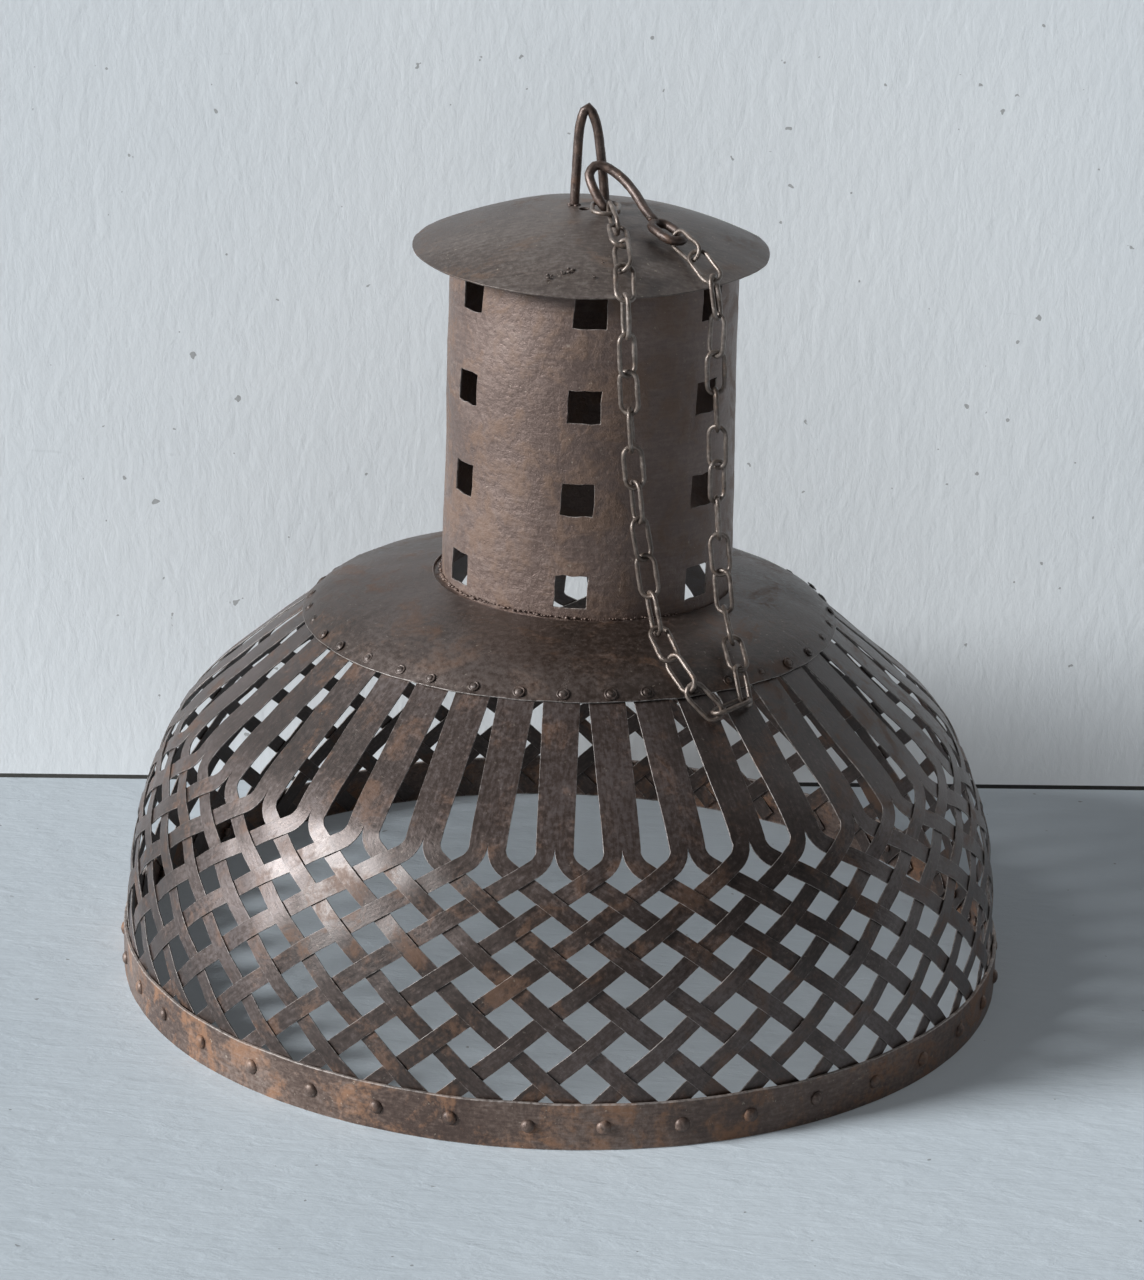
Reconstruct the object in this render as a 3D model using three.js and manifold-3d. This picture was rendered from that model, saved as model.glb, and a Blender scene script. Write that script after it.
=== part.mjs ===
// Hanging lampshade of woven iron strip: a deep basket of slit strips riveted to a rim band, a sheet crown,
// a vented chimney, a dished cap with a rod staple, and a chain with a hook that hangs it.
// Millimetres, +Z up. The axis of the basket is the Z axis, and the rim stands on z = 0.
import * as THREE from 'three';
import { mergeVertices } from 'three/addons/utils/BufferGeometryUtils.js';
import Module from 'manifold-3d';

const wasm = await Module();
wasm.setup();

// Clearances
const seatGap = 0.3; // between pieces that lie on each other
const weaveGap = 0.36; // between two strips where they cross
const lapGap = 0.6; // between crown and spokes, before the crown's facets dip towards them
const linkPlay = 1.4; // between links that stay separate pieces
const toolReach = 60; // how far a cutting tool reaches past what it cuts

// Rim band
const rimRadius = 310;
const bandHeight = 32;
const bandThickness = 2.5;
const rimRivetRadius = 5;
const rimRivetRise = 3;

// Strips: each is a spoke, slit at its foot into two legs that are woven with their neighbours
const stripCount = 39;
const stripWidth = 24;
const stripThickness = 0.9;
const slitWidth = 0.6;
const crossingsPerLeg = 9; // the last one lies behind the band
const weaveSteepening = 0.27; // how much further apart the crossings lie near the rim
const splitBendRadius = 16;
const legEndHeight = 5;
const lastCrossingHeight = 21;
const shadeTurn = -1; // degrees that the first spoke stands off the front, round the axis
const spokeRows = [0, 0.28, 0.55, 0.8]; // where the spoke's facets break, as shares of its length
const slopeStretch = 1.06; // the weave's length down the outline over its height
const liftMargin = 1.15; // room behind the band over the weave's own lift
const legFlare = [1.03, 1.05]; // how the legs' places widen from the split to the first two crossings
const legEndSpread = 0.3; // share of a crossing over which a leg's cut end is squared

// Outline of the basket, from the crown down: how far the middle of the strips lies inside the rim,
// and its height
const slopeInset = 86;
const slopeHeight = 222;
const splitInset = 43;
const splitHeight = 182;
const shoulderInset = 16.5;
const shoulderHeight = 125;
const bellyInset = 7;
const bellyHeight = 84;
const wallHeight = 45;

// Crown
const crownInset = 125; // from the rim's radius to the crown's edge
const crownEdgeHeight = 257;
const crownLap = 15; // width of the sloping edge that lies on the spokes
const crownLapRise = 12;
const spokeLap = 11; // how far the spokes reach in under it
const crownDomeRadius = 140;
const crownDomeHeight = 279;
const crownNeckRadius = 86;
const crownNeckHeight = 288;
const crownThickness = 1.2;
const crownRivetInset = 6;
const crownRivetRadius = 4.5;
const crownRivetRise = 2.6;
const crownHoleCentre = 8.5; // the hole and the chimney stand off the axis, to +X

// Chimney
const chimneyRadius = 100;
const chimneyTaper = 2.6;
const chimneyThickness = 1.2;
const chimneyCentre = 10.4;
const chimneyHolePlay = 3.5;
const footFlangeWidth = 12;
const flangeStart = 0.35; // share of the crown's line from which the flange's sheet is made
const ventSize = 22;
const ventRows = 4;
const ventRowPitch = 63.3;
const ventColumns = 6;
const ventColumnsLeft = 2; // of these, how many stand left of the front one
const ventColumnStep = 54; // degrees; the seam at the back takes the rest
const ventSkew = -1.5; // degrees that each row is turned from the row above it
const ventFirstHeight = 15.5; // middle of the lowest row above the crown's neck
const ventCutDepth = 20;
const ventFrontAngle = -1.2; // degrees, the front column in the top row

// Cap
const capRadius = 120;
const capRise = 28.4;
const capEdgeHeight = 515.4;
const capThickness = 1.2;
const capTilt = 2.3; // degrees, nodding towards the front
const capCentre = 7.3;
const capHoleRadius = 3.6;
const capHoleAt = [2, -10];
const capRings = [1, 0.85, 0.6, 0.3, 0]; // where the dish's facets break, as shares of its radius

// Staple and hook, of the same round rod
const rodRadius = 3.25;
const stapleRoute = [[-5.1, 0, 540], [-4, 0, 566], [-2.6, 0, 596], [2.2, 0, 609.2], [8.4, 0, 598],
  [11.6, 0, 580], [14.4, 0, 558], [16.6, 0, 540]];
const hookRoute = [[16.6, -23.5, 545], [10.1, -19.5, 553.7], [5.2, -13, 563.1], [5, -9.8, 567.8],
  [9.5, -7.2, 572.1], [16.9, -8.6, 570.6], [26.3, -14, 565.2], [34.5, -22, 557.7], [41.9, -33.4, 549]];
const eyeCentre = [57, -53.8, 538.4];
const eyeDirection = [0.62, -0.73, -0.29];
const eyeLength = 12.6; // half length along the hook, to the middle of the rod
const eyeWidth = 7.2;
const barRoot = 1; // how far the bar runs on into the eye's rod

// Chain
const linkWire = 2.5;
const linkInnerLength = 24.6;
const linkInnerWidth = 9.4;
const linkBite = 0.4; // how far joined links sink into each other where they bear
const endRingWire = 3;
const endRingLength = 27.5;
const endRingWidth = 14.6;
const endRingCentre = [16.1, -29.2, 548.1];
const endRingTilt = 2.7; // degrees, raised at the back

// Facets
const crownSegments = stripCount;
const crownSteps = 5;
const flangeSteps = 3;
const chimneySegments = 42;
const capSegments = 42;
const rivetSides = 6;
const rivetFlat = 0.6; // width of a rivet head's flat top over its own
const rodSides = 8;
const stapleSteps = 18;
const hookSteps = 22;
const eyeFacets = { bendSteps: 5, sides: 7 };
const ringFacets = { bendSteps: 5, sides: 6 };
const linkFacets = { bendSteps: 4, sides: 5 };
const outlineDivisions = 1200;
const routeSamples = 4000;
const searchSteps = 40;

const degrees = Math.PI / 180;
const halfPitch = Math.PI / stripCount;
const legWidth = (stripWidth - slitWidth) / 2;
const firstSpoke = shadeTurn * degrees;
const crownRadius = rimRadius - crownInset;
const splitRadius = rimRadius - splitInset;

// Solids

function solidOf(geometry) {
  const bare = new THREE.BufferGeometry();
  bare.setAttribute('position', geometry.getAttribute('position').clone());
  if (geometry.index) bare.setIndex(geometry.index.clone());
  const merged = mergeVertices(bare, 1e-4);
  return new wasm.Manifold(new wasm.Mesh({
    numProp: 3,
    vertProperties: new Float32Array(merged.getAttribute('position').array),
    triVerts: new Uint32Array(merged.index.array),
  }));
}

// The largest piece of a solid, without slivers that are flat to a hundredth of a millimetre
function geometryOf(solid) {
  const pieces = solid.asOriginal().simplify(0.01).decompose();
  const largest = pieces.reduce((best, piece) => (piece.volume() > best.volume() ? piece : best));
  const mesh = largest.getMesh();
  const geometry = new THREE.BufferGeometry();
  geometry.setAttribute('position', new THREE.BufferAttribute(new Float32Array(mesh.vertProperties), 3));
  geometry.setIndex(new THREE.BufferAttribute(new Uint32Array(mesh.triVerts), 1));
  geometry.computeVertexNormals();
  return geometry;
}

function join(geometries) {
  return geometryOf(geometries.map(solidOf).reduce((whole, piece) => whole.add(piece)));
}

function cut(geometry, tools) {
  return geometryOf(tools.map(solidOf).reduce((whole, tool) => whole.subtract(tool), solidOf(geometry)));
}

function moved(geometry, x, y, z) {
  return geometry.clone().translate(x, y, z);
}

// A lathe about Z. The outline is a closed loop of [radius, height] points, counterclockwise.
function lathed(outline, segments) {
  const loop = [...outline, outline[0]].map(([radius, height]) => new THREE.Vector2(radius, height));
  return new THREE.LatheGeometry(loop, segments).rotateX(Math.PI / 2);
}

function drum(radius, low, high, segments) {
  const height = high - low;
  return new THREE.CylinderGeometry(radius, radius, height, segments).rotateX(Math.PI / 2)
    .translate(0, 0, low + height / 2);
}

// A sheet of the given thickness from points with normals. Each cell lists its corners counterclockwise
// as seen from the side that the normals point to.
function thickSheet(points, normals, cells, thickness) {
  const half = thickness / 2;
  const positions = [];
  for (const side of [1, -1]) {
    points.forEach((point, i) => positions.push(...point.clone().addScaledVector(normals[i], side * half)));
  }
  const count = points.length;
  const triangles = [];
  const edges = new Map();
  for (const cell of cells) {
    for (let i = 1; i + 1 < cell.length; i++) {
      triangles.push(cell[0], cell[i], cell[i + 1]);
      triangles.push(count + cell[0], count + cell[i + 1], count + cell[i]);
    }
    cell.forEach((from, i) => {
      const to = cell[(i + 1) % cell.length];
      if (edges.has(`${to} ${from}`)) edges.delete(`${to} ${from}`);
      else edges.set(`${from} ${to}`, [from, to]);
    });
  }
  for (const [from, to] of edges.values()) {
    triangles.push(from, count + from, count + to, from, count + to, to);
  }
  const geometry = new THREE.BufferGeometry();
  geometry.setAttribute('position', new THREE.BufferAttribute(new Float32Array(positions), 3));
  geometry.setIndex(triangles);
  return geometry;
}

// A round rod along a curve through the given points
function rod(points, radius, sides, steps) {
  const path = new THREE.CatmullRomCurve3(points.map((point) => new THREE.Vector3(...point)));
  const section = new THREE.Shape();
  for (let i = 0; i < sides; i++) {
    const angle = 2 * Math.PI * i / sides;
    const corner = [radius * Math.cos(angle), radius * Math.sin(angle)];
    if (i === 0) section.moveTo(...corner);
    else section.lineTo(...corner);
  }
  return new THREE.ExtrudeGeometry(section, { steps, extrudePath: path, curveSegments: 1 });
}

// A closed ring of round wire. It lies in the X-Z plane, with its long way along Z.
function wireRing(innerLength, innerWidth, wire, { bendSteps, sides }) {
  const bend = (innerWidth + wire) / 2;
  const straight = (innerLength + wire) / 2 - bend;
  const middles = [];
  for (const end of [1, -1]) {
    for (let i = 0; i <= bendSteps; i++) {
      const angle = Math.PI * i / bendSteps;
      middles.push({ out: [end * Math.cos(angle), end * Math.sin(angle)], rise: end * straight });
    }
  }
  const positions = [];
  for (const { out, rise } of middles) {
    for (let j = 0; j < sides; j++) {
      const angle = 2 * Math.PI * (j + 0.5) / sides;
      const reach = bend + wire / 2 * Math.cos(angle);
      positions.push(out[0] * reach, wire / 2 * Math.sin(angle), out[1] * reach + rise);
    }
  }
  const triangles = [];
  middles.forEach((_, i) => {
    const here = i * sides;
    const next = (i + 1) % middles.length * sides;
    for (let j = 0; j < sides; j++) {
      const k = (j + 1) % sides;
      triangles.push(here + j, here + k, next + k, here + j, next + k, next + j);
    }
  });
  const geometry = new THREE.BufferGeometry();
  geometry.setAttribute('position', new THREE.BufferAttribute(new Float32Array(positions), 3));
  geometry.setIndex(triangles);
  return geometry;
}

// The low dome of a rivet head, on +Z, with a short root below its seat
function rivetHead(radius, rise, root) {
  return lathed([[0, -root], [radius, -root], [radius * rivetFlat, rise], [0, rise]], rivetSides);
}

function rivetAt(head, radius, height, angle, slope) {
  const turned = new THREE.Matrix4().makeRotationZ(angle)
    .multiply(new THREE.Matrix4().makeTranslation(0, -radius, height))
    .multiply(new THREE.Matrix4().makeRotationX(slope));
  return head.clone().applyMatrix4(turned);
}

// The basket's outline as a curve

const lapAngle = Math.atan2(crownLapRise, crownLap);
// From the spokes' middle to the crown's face
const crownLift = stripThickness / 2 + lapGap + crownThickness;
const spokeAtEdge = [
  crownRadius - crownLift * Math.sin(lapAngle),
  crownEdgeHeight - crownLift * Math.cos(lapAngle),
];
const spokeEnd = [spokeAtEdge[0] - spokeLap, spokeAtEdge[1] + spokeLap * Math.tan(lapAngle)];

// Where crossings lie along the outline, as a share of the way from the split to the last crossing
function crossingShare(k) {
  const share = k / crossingsPerLeg;
  return (1 - weaveSteepening) * share + weaveSteepening * share * share;
}

// How far a strip must lift at a crossing to clear the other strip over the whole of the lap
function liftFor(run, rise) {
  const reach = legWidth / 2 * run / rise;
  const length = Math.hypot(run, rise);
  return (stripThickness + weaveGap) / 2 / (1 - 2 * reach / length);
}

const rimRun = rimRadius * halfPitch;
const weaveDrop = slopeStretch * (splitHeight - lastCrossingHeight);
const rimRise = weaveDrop * (1 - crossingShare(crossingsPerLeg - 1));
const wallLift = stripThickness / 2 + liftMargin * liftFor(rimRun, rimRise);
const wallRadius = rimRadius - bandThickness - seatGap - wallLift;

const outline = new THREE.SplineCurve([spokeEnd, spokeAtEdge, [rimRadius - slopeInset, slopeHeight],
  [splitRadius, splitHeight], [rimRadius - shoulderInset, shoulderHeight],
  [rimRadius - bellyInset, bellyHeight],
  [wallRadius, wallHeight], [wallRadius, 0]].map(([radius, height]) => new THREE.Vector2(radius, height)));
outline.arcLengthDivisions = outlineDivisions;
const outlineLength = outline.getLength();

function distanceAtHeight(height) {
  let low = 0;
  let high = 1;
  for (let i = 0; i < searchSteps; i++) {
    const middle = (low + high) / 2;
    if (outline.getPointAt(middle).y > height) low = middle;
    else high = middle;
  }
  return low * outlineLength;
}

// A point of the basket: a distance down the outline and an angle round the axis from the front
function onBasket(distance, angle) {
  const share = Math.min(Math.max(distance / outlineLength, 0), 1);
  const at = outline.getPointAt(share);
  const along = outline.getTangentAt(share);
  const out = new THREE.Vector3(Math.sin(angle), -Math.cos(angle), 0);
  return {
    radius: at.x,
    height: at.y,
    point: out.clone().multiplyScalar(at.x).setZ(at.y),
    normal: out.clone().multiplyScalar(-along.y).setZ(along.x),
  };
}

const splitDistance = distanceAtHeight(splitHeight);
const lastDistance = distanceAtHeight(lastCrossingHeight);
const endDistance = distanceAtHeight(legEndHeight);
const weaveLength = lastDistance - splitDistance;

// The middle of a leg at crossing k, which may lie past the last one: how far down and how far round
function legMiddle(k) {
  return { distance: splitDistance + weaveLength * crossingShare(k), angle: k * halfPitch };
}

function legCrossingAtEnd() {
  let low = crossingsPerLeg;
  let high = crossingsPerLeg + 2;
  for (let i = 0; i < searchSteps; i++) {
    const middle = (low + high) / 2;
    if (legMiddle(middle).distance < endDistance) low = middle;
    else high = middle;
  }
  return low;
}

const lastK = legCrossingAtEnd();

function liftAt(k) {
  const before = legMiddle(k - 0.5);
  const after = legMiddle(k + 0.5);
  const radius = onBasket(legMiddle(k).distance, 0).radius;
  return liftFor(halfPitch * radius, after.distance - before.distance);
}

// The in-plane bend at the split, on the flat, from its start to its middle: across from the spoke's middle
// and down from the split height
const firstAcross = splitRadius * legFlare[0] * halfPitch;
const firstDown = weaveLength * crossingShare(1);
const secondDown = weaveLength * crossingShare(2);
const legSlope = Math.atan2(secondDown - firstDown, splitRadius * legFlare[1] * halfPitch);
const cornerDown = firstDown - (firstAcross - legWidth / 2) * Math.tan(legSlope);
const bendTurn = Math.PI / 2 - legSlope;
const bendTangent = splitBendRadius * Math.tan(bendTurn / 2);
const bendCentreDown = cornerDown - bendTangent;
const legBend = {
  start: bendCentreDown,
  across: legWidth / 2 + splitBendRadius * (1 - Math.cos(bendTurn / 2)),
  down: bendCentreDown + splitBendRadius * Math.sin(bendTurn / 2),
  turn: bendTurn / 2,
};

// One strip. side is -1 for the leg that goes down to the left and 1 for the one that goes right.
function stripGeometry(stripAngle) {
  const points = [];
  const normals = [];
  const cells = [];
  const add = (distance, angle, lift, across) => {
    const at = onBasket(distance, stripAngle + angle);
    const point = at.point.addScaledVector(at.normal, lift);
    if (across) point.add(across);
    points.push(point);
    normals.push(at.normal);
    return points.length - 1;
  };
  const halfWidth = stripWidth / 2;
  const bendDepth = legBend.start;
  const spokeDistances = spokeRows.map((share) => share * (splitDistance + bendDepth));
  const spoke = spokeDistances.map((distance) => {
    const reach = halfWidth / onBasket(distance, 0).radius;
    return [add(distance, -reach, 0), add(distance, reach, 0)];
  });
  for (let i = 0; i + 1 < spoke.length; i++) {
    cells.push([spoke[i][0], spoke[i + 1][0], spoke[i + 1][1], spoke[i][1]]);
  }
  const splitReach = halfWidth / onBasket(splitDistance + bendDepth, 0).radius;
  const left = add(splitDistance + bendDepth, -splitReach, 0);
  const middle = add(splitDistance + bendDepth, 0, 0);
  const right = add(splitDistance + bendDepth, splitReach, 0);
  const lastSpoke = spoke[spoke.length - 1];
  cells.push([middle, right, lastSpoke[1], lastSpoke[0], left]);

  for (const side of [-1, 1]) {
    let inner = middle;
    let outer = side < 0 ? left : right;
    const link = (nextInner, nextOuter) => {
      const cell = [outer, inner, nextInner, nextOuter];
      cells.push(side < 0 ? cell.reverse() : cell);
      inner = nextInner;
      outer = nextOuter;
    };
    const bendEdge = (reach) => {
      const across = legBend.across + reach * Math.cos(legBend.turn);
      const distance = splitDistance + legBend.down - reach * Math.sin(legBend.turn);
      return add(distance, side * across / onBasket(distance, 0).radius, 0);
    };
    link(bendEdge(-legWidth / 2), bendEdge(legWidth / 2));
    for (let k = 1; k <= crossingsPerLeg + 1; k++) {
      const isEnd = k > crossingsPerLeg;
      const at = isEnd ? lastK : k;
      const here = legMiddle(at);
      const behind = at - (isEnd ? legEndSpread : 0.5);
      const ahead = isEnd ? at : at + 0.5;
      const before = onBasket(legMiddle(behind).distance, stripAngle + side * behind * halfPitch).point;
      const after = onBasket(legMiddle(ahead).distance, stripAngle + side * ahead * halfPitch).point;
      const normal = onBasket(here.distance, stripAngle + side * here.angle).normal;
      const across = after.sub(before).cross(normal).normalize().multiplyScalar(-side * legWidth / 2);
      const outward = (k % 2 === 1) === (side < 0) ? 1 : -1;
      const lift = isEnd ? 0 : outward * liftAt(k);
      link(add(here.distance, side * here.angle, lift, across.clone().negate()),
        add(here.distance, side * here.angle, lift, across));
    }
  }
  return thickSheet(points, normals, cells, stripThickness);
}

// Rim band with its rivet heads, one over the last crossing of each pair of legs
function bandGeometry() {
  const hoop = lathed([[rimRadius - bandThickness, 0], [rimRadius, 0], [rimRadius, bandHeight],
    [rimRadius - bandThickness, bandHeight]], 2 * stripCount);
  const head = rivetHead(rimRivetRadius, rimRivetRise, bandThickness / 2);
  const flatReach = rimRadius * Math.cos(halfPitch / 2);
  const heads = Array.from({ length: stripCount }, (_, i) => rivetAt(head, flatReach, bandHeight / 2,
    (2 * i + 1) * halfPitch + halfPitch / 2, Math.PI / 2));
  return join([hoop, ...heads]).rotateZ(firstSpoke);
}

// Crown: laid over the spokes' ends at its edge, then a low dome up to the neck
const crownLine = new THREE.SplineCurve([
  [crownRadius, crownEdgeHeight],
  [crownRadius - crownLap, crownEdgeHeight + crownLapRise],
  [crownDomeRadius, crownDomeHeight],
  [crownNeckRadius, crownNeckHeight],
].map(([radius, height]) => new THREE.Vector2(radius, height)));

function crownSheet(from, to, drop, steps, segments) {
  const outer = [];
  const inner = [];
  for (let i = 0; i <= steps; i++) {
    const share = from + (to - from) * i / steps;
    const at = crownLine.getPointAt(share);
    const along = crownLine.getTangentAt(share);
    const normal = [along.y, -along.x];
    outer.push([at.x + normal[0] * -drop, at.y + normal[1] * -drop]);
    inner.push([at.x - normal[0] * (drop + crownThickness), at.y - normal[1] * (drop + crownThickness)]);
  }
  return lathed([...outer, ...inner.reverse()], segments).rotateZ(Math.PI / segments + firstSpoke);
}

// An upright drum that reaches right through the crown, to cut with
function crownTool(radius, centre) {
  const low = crownEdgeHeight - toolReach;
  const high = crownNeckHeight + toolReach;
  return moved(drum(radius, low, high, chimneySegments), centre, 0, 0);
}

function crownGeometry() {
  const sheet = crownSheet(0, 1, 0, crownSteps, crownSegments);
  const hole = crownTool(chimneyRadius + chimneyHolePlay, crownHoleCentre);
  const share = crownRivetInset / crownLine.getLength();
  const at = crownLine.getPointAt(share);
  const along = crownLine.getTangentAt(share);
  const head = rivetHead(crownRivetRadius, crownRivetRise, crownThickness / 2);
  const flatReach = at.x * Math.cos(Math.PI / crownSegments);
  const slope = Math.atan2(along.y, -along.x);
  const heads = Array.from({ length: stripCount }, (_, i) => rivetAt(head, flatReach, at.y,
    firstSpoke + 2 * i * halfPitch, slope));
  return join([cut(sheet, [hole]), ...heads]);
}

// Cap: a dished disc. It stands in its own frame, and capPlace puts it on the chimney.
function capOutlineHeight(radius) {
  return capRise * (1 - (radius / capRadius) ** 2);
}

function capShell(lift, thickness) {
  const radii = capRings.map((share) => share * capRadius);
  const top = radii.map((radius) => [radius, capOutlineHeight(radius) + lift]);
  const bottom = radii.map((radius) => [radius, capOutlineHeight(radius) + lift - thickness]).reverse();
  return lathed([...top, ...bottom], capSegments);
}

const capPlace = new THREE.Matrix4().makeTranslation(capCentre, 0, capEdgeHeight)
  .multiply(new THREE.Matrix4().makeRotationX(capTilt * degrees));

// Everything above the underside of the cap, or above its top, as a tool to cut with
function aboveCap(lift) {
  return capShell(lift + toolReach, toolReach).applyMatrix4(capPlace);
}

function belowCap(lift) {
  return capShell(lift, toolReach).applyMatrix4(capPlace);
}

function capGeometry() {
  const hole = moved(drum(capHoleRadius, 0, toolReach, 12), capHoleAt[0] - capCentre, capHoleAt[1], 0);
  return cut(capShell(0, capThickness), [hole]);
}

// Chimney: a tube with square vents, a flange under the crown, and its top dressed to the cap
function chimneyGeometry() {
  const low = crownDomeHeight;
  const high = capEdgeHeight + capRise;
  const topRadius = chimneyRadius - chimneyTaper;
  const wall = lathed([[chimneyRadius, low], [topRadius, high], [topRadius - chimneyThickness, high],
    [chimneyRadius - chimneyThickness, low]], chimneySegments);
  const vents = [];
  const firstHeight = crownNeckHeight + ventFirstHeight;
  for (let row = 0; row < ventRows; row++) {
    for (let column = 0; column < ventColumns; column++) {
      const fromTop = ventRows - 1 - row;
      const fromFront = column - ventColumnsLeft;
      const angle = ventFrontAngle + ventSkew * fromTop + ventColumnStep * fromFront;
      const vent = new THREE.BoxGeometry(ventSize, ventCutDepth, ventSize);
      vent.translate(0, -chimneyRadius, firstHeight + row * ventRowPitch);
      vents.push(vent.rotateZ(angle * degrees));
    }
  }
  const pierced = cut(wall, vents).translate(chimneyCentre, 0, 0);
  const trimmed = cut(pierced, [aboveCap(-capThickness - seatGap)]);
  const flangeDrop = crownThickness + seatGap;
  const flangeSheet = solidOf(crownSheet(flangeStart, 1, flangeDrop, flangeSteps, crownSegments));
  const flangeReach = solidOf(crownTool(chimneyRadius + footFlangeWidth, chimneyCentre));
  const bore = solidOf(crownTool(chimneyRadius - chimneyThickness, chimneyCentre));
  const flange = flangeSheet.intersect(flangeReach).subtract(bore);
  return geometryOf(solidOf(trimmed).add(flange));
}

function stapleGeometry() {
  return cut(rod(stapleRoute, rodRadius, rodSides, stapleSteps), [belowCap(seatGap)]);
}

// Hook: a bent rod whose shank ends in a long eye
function hookGeometry() {
  const centre = new THREE.Vector3(...eyeCentre);
  const along = new THREE.Vector3(...eyeDirection).normalize();
  const flat = new THREE.Vector3().crossVectors(along, new THREE.Vector3(0, 0, 1)).normalize();
  const eye = wireRing(2 * (eyeLength - rodRadius), 2 * (eyeWidth - rodRadius), 2 * rodRadius, eyeFacets);
  const up = new THREE.Vector3().crossVectors(along, flat);
  const placed = eye.applyMatrix4(new THREE.Matrix4().makeBasis(flat, up, along).setPosition(centre));
  const barEnd = centre.clone().addScaledVector(along, barRoot - eyeLength).toArray();
  const bar = rod([...hookRoute, barEnd], rodRadius, rodSides, hookSteps);
  return join([bar, placed]);
}

// Chain

// The two bearing points of each link along a route. Each count in pieces is one piece of joined links,
// and a new piece starts far enough back to hang loose in the one before it.
function strung(route, pieces) {
  const points = route.map((point) => new THREE.Vector3(...point));
  const curve = new THREE.CatmullRomCurve3(points, false, 'centripetal');
  const samples = curve.getSpacedPoints(routeSamples);
  const pitch = linkInnerLength + linkBite;
  const links = [];
  let at = samples[0];
  let i = 0;
  for (const count of pieces) {
    for (let k = 0; k < count; k++) {
      let from = at;
      if (k === 0 && links.length > 0) {
        const back = links[links.length - 1].from.clone().sub(at).normalize();
        from = at.clone().addScaledVector(back, linkBite + linkPlay);
      }
      while (i < samples.length && samples[i].distanceTo(from) < pitch) i++;
      if (i < samples.length) {
        at = samples[i];
      } else {
        const onward = from.clone().sub(links[links.length - 1].from).normalize();
        at = from.clone().addScaledVector(onward, pitch);
      }
      links.push({ from, to: at });
    }
  }
  return links;
}

// A link between two bearing points. The twist turns its broad side from facing outwards.
function linkBetween(from, to, twist, geometry) {
  const along = to.clone().sub(from).normalize();
  const centre = from.clone().add(to).multiplyScalar(0.5);
  const facing = new THREE.Vector3(centre.x - chimneyCentre, centre.y, 0).normalize();
  const broad = new THREE.Vector3().crossVectors(along, facing).normalize();
  broad.applyAxisAngle(along, twist * degrees);
  const normal = new THREE.Vector3().crossVectors(along, broad);
  const place = new THREE.Matrix4().makeBasis(broad, normal, along).setPosition(centre);
  return geometry.clone().applyMatrix4(place);
}

const leftRoute = [[18.4, -41.9, 550.4], [24, -65, 542.4], [26.3, -87, 536.5], [28.9, -109, 524.6],
  [30.1, -126.5, 505.7], [31.5, -125.6, 482.2], [33.3, -125, 457.5], [35.3, -125, 434], [37.4, -125.2, 410],
  [40.5, -125.5, 385.3], [43.6, -126, 360.4], [48.4, -127.5, 336.8], [52.8, -130.5, 312.7], [57.5, -137, 292],
  [66.8, -156, 279], [79.1, -172, 266], [98.4, -176, 247]];
const leftTwists = [88, 0, 54, -4, 82, -28, 34, -72, 2, 76, -22, 30, 82, 0, 44, -2];
const leftPieces = [1, 1, 1, 1, 5, 4, 3];
const rightRoute = [[62, -59.6, 536.9], [75.4, -79.3, 529.4], [89.8, -98.4, 512], [90.3, -98.3, 488.7],
  [90, -98, 463.4], [91.4, -98, 439.6], [93.3, -98, 417.1], [94.3, -98, 392], [95.1, -98, 366.6],
  [97.4, -98.5, 342.4], [100.3, -100, 318.3], [103.2, -105, 296], [106.5, -120, 284.5], [112, -142.5, 270],
  [117.5, -161, 248.5]];
const rightTwists = [88, 35, -31, 85, 20, -52, 65, 2, 128, 30, 75, -26, 38, -16];
const rightPieces = [1, 1, 5, 5, 2];
const leftNames = ['link_1', 'link_2', 'link_3', 'link_4', 'upper_run', 'lower_run', 'tail'];
const rightNames = ['link_1', 'link_2', 'upper_run', 'lower_run', 'tail'];
const bottomBearings = [[99.3, -173.9, 250.2], [114.3, -163, 253.2]];
const bottomTwist = 78;
const link = wireRing(linkInnerLength, linkInnerWidth, linkWire, linkFacets);

// Materials

const rust = (colour, roughness, metalness) => ({ color: new THREE.Color(colour), roughness, metalness });
const stripFinish = rust('#3a2c26', 0.52, 0.75);
const bandFinish = rust('#5a3f2e', 0.7, 0.6);
const crownFinish = rust('#463a31', 0.62, 0.65);
const chimneyFinish = rust('#574437', 0.72, 0.55);
const capFinish = rust('#57524b', 0.55, 0.7);
const rodFinish = rust('#4a3a31', 0.5, 0.75);
const chainFinish = rust('#6d5a4a', 0.5, 0.8);

// The lampshade

const shade = new THREE.Group();

function addPiece(name, geometry, finish, parent = shade) {
  const mesh = new THREE.Mesh(geometry, new THREE.MeshStandardMaterial(finish));
  mesh.name = name;
  parent.add(mesh);
  return mesh;
}

for (let i = 0; i < stripCount; i++) {
  const name = `strip_${String(i + 1).padStart(2, '0')}`;
  addPiece(name, stripGeometry(firstSpoke + 2 * i * halfPitch), stripFinish);
}
addPiece('rim_band', bandGeometry(), bandFinish);
addPiece('crown', crownGeometry(), crownFinish);
addPiece('chimney', chimneyGeometry(), chimneyFinish);
const cap = addPiece('cap', capGeometry(), capFinish);
cap.applyMatrix4(capPlace);
addPiece('staple', stapleGeometry(), rodFinish);
addPiece('hook', hookGeometry(), rodFinish);

const endRing = addPiece('chain_end_ring',
  wireRing(endRingLength, endRingWidth, endRingWire, ringFacets).rotateX(Math.PI / 2), chainFinish);
endRing.position.set(...endRingCentre);
endRing.rotation.x = endRingTilt * degrees;

const leftLinks = strung(leftRoute, leftPieces);
const rightLinks = strung(rightRoute, rightPieces);

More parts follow.
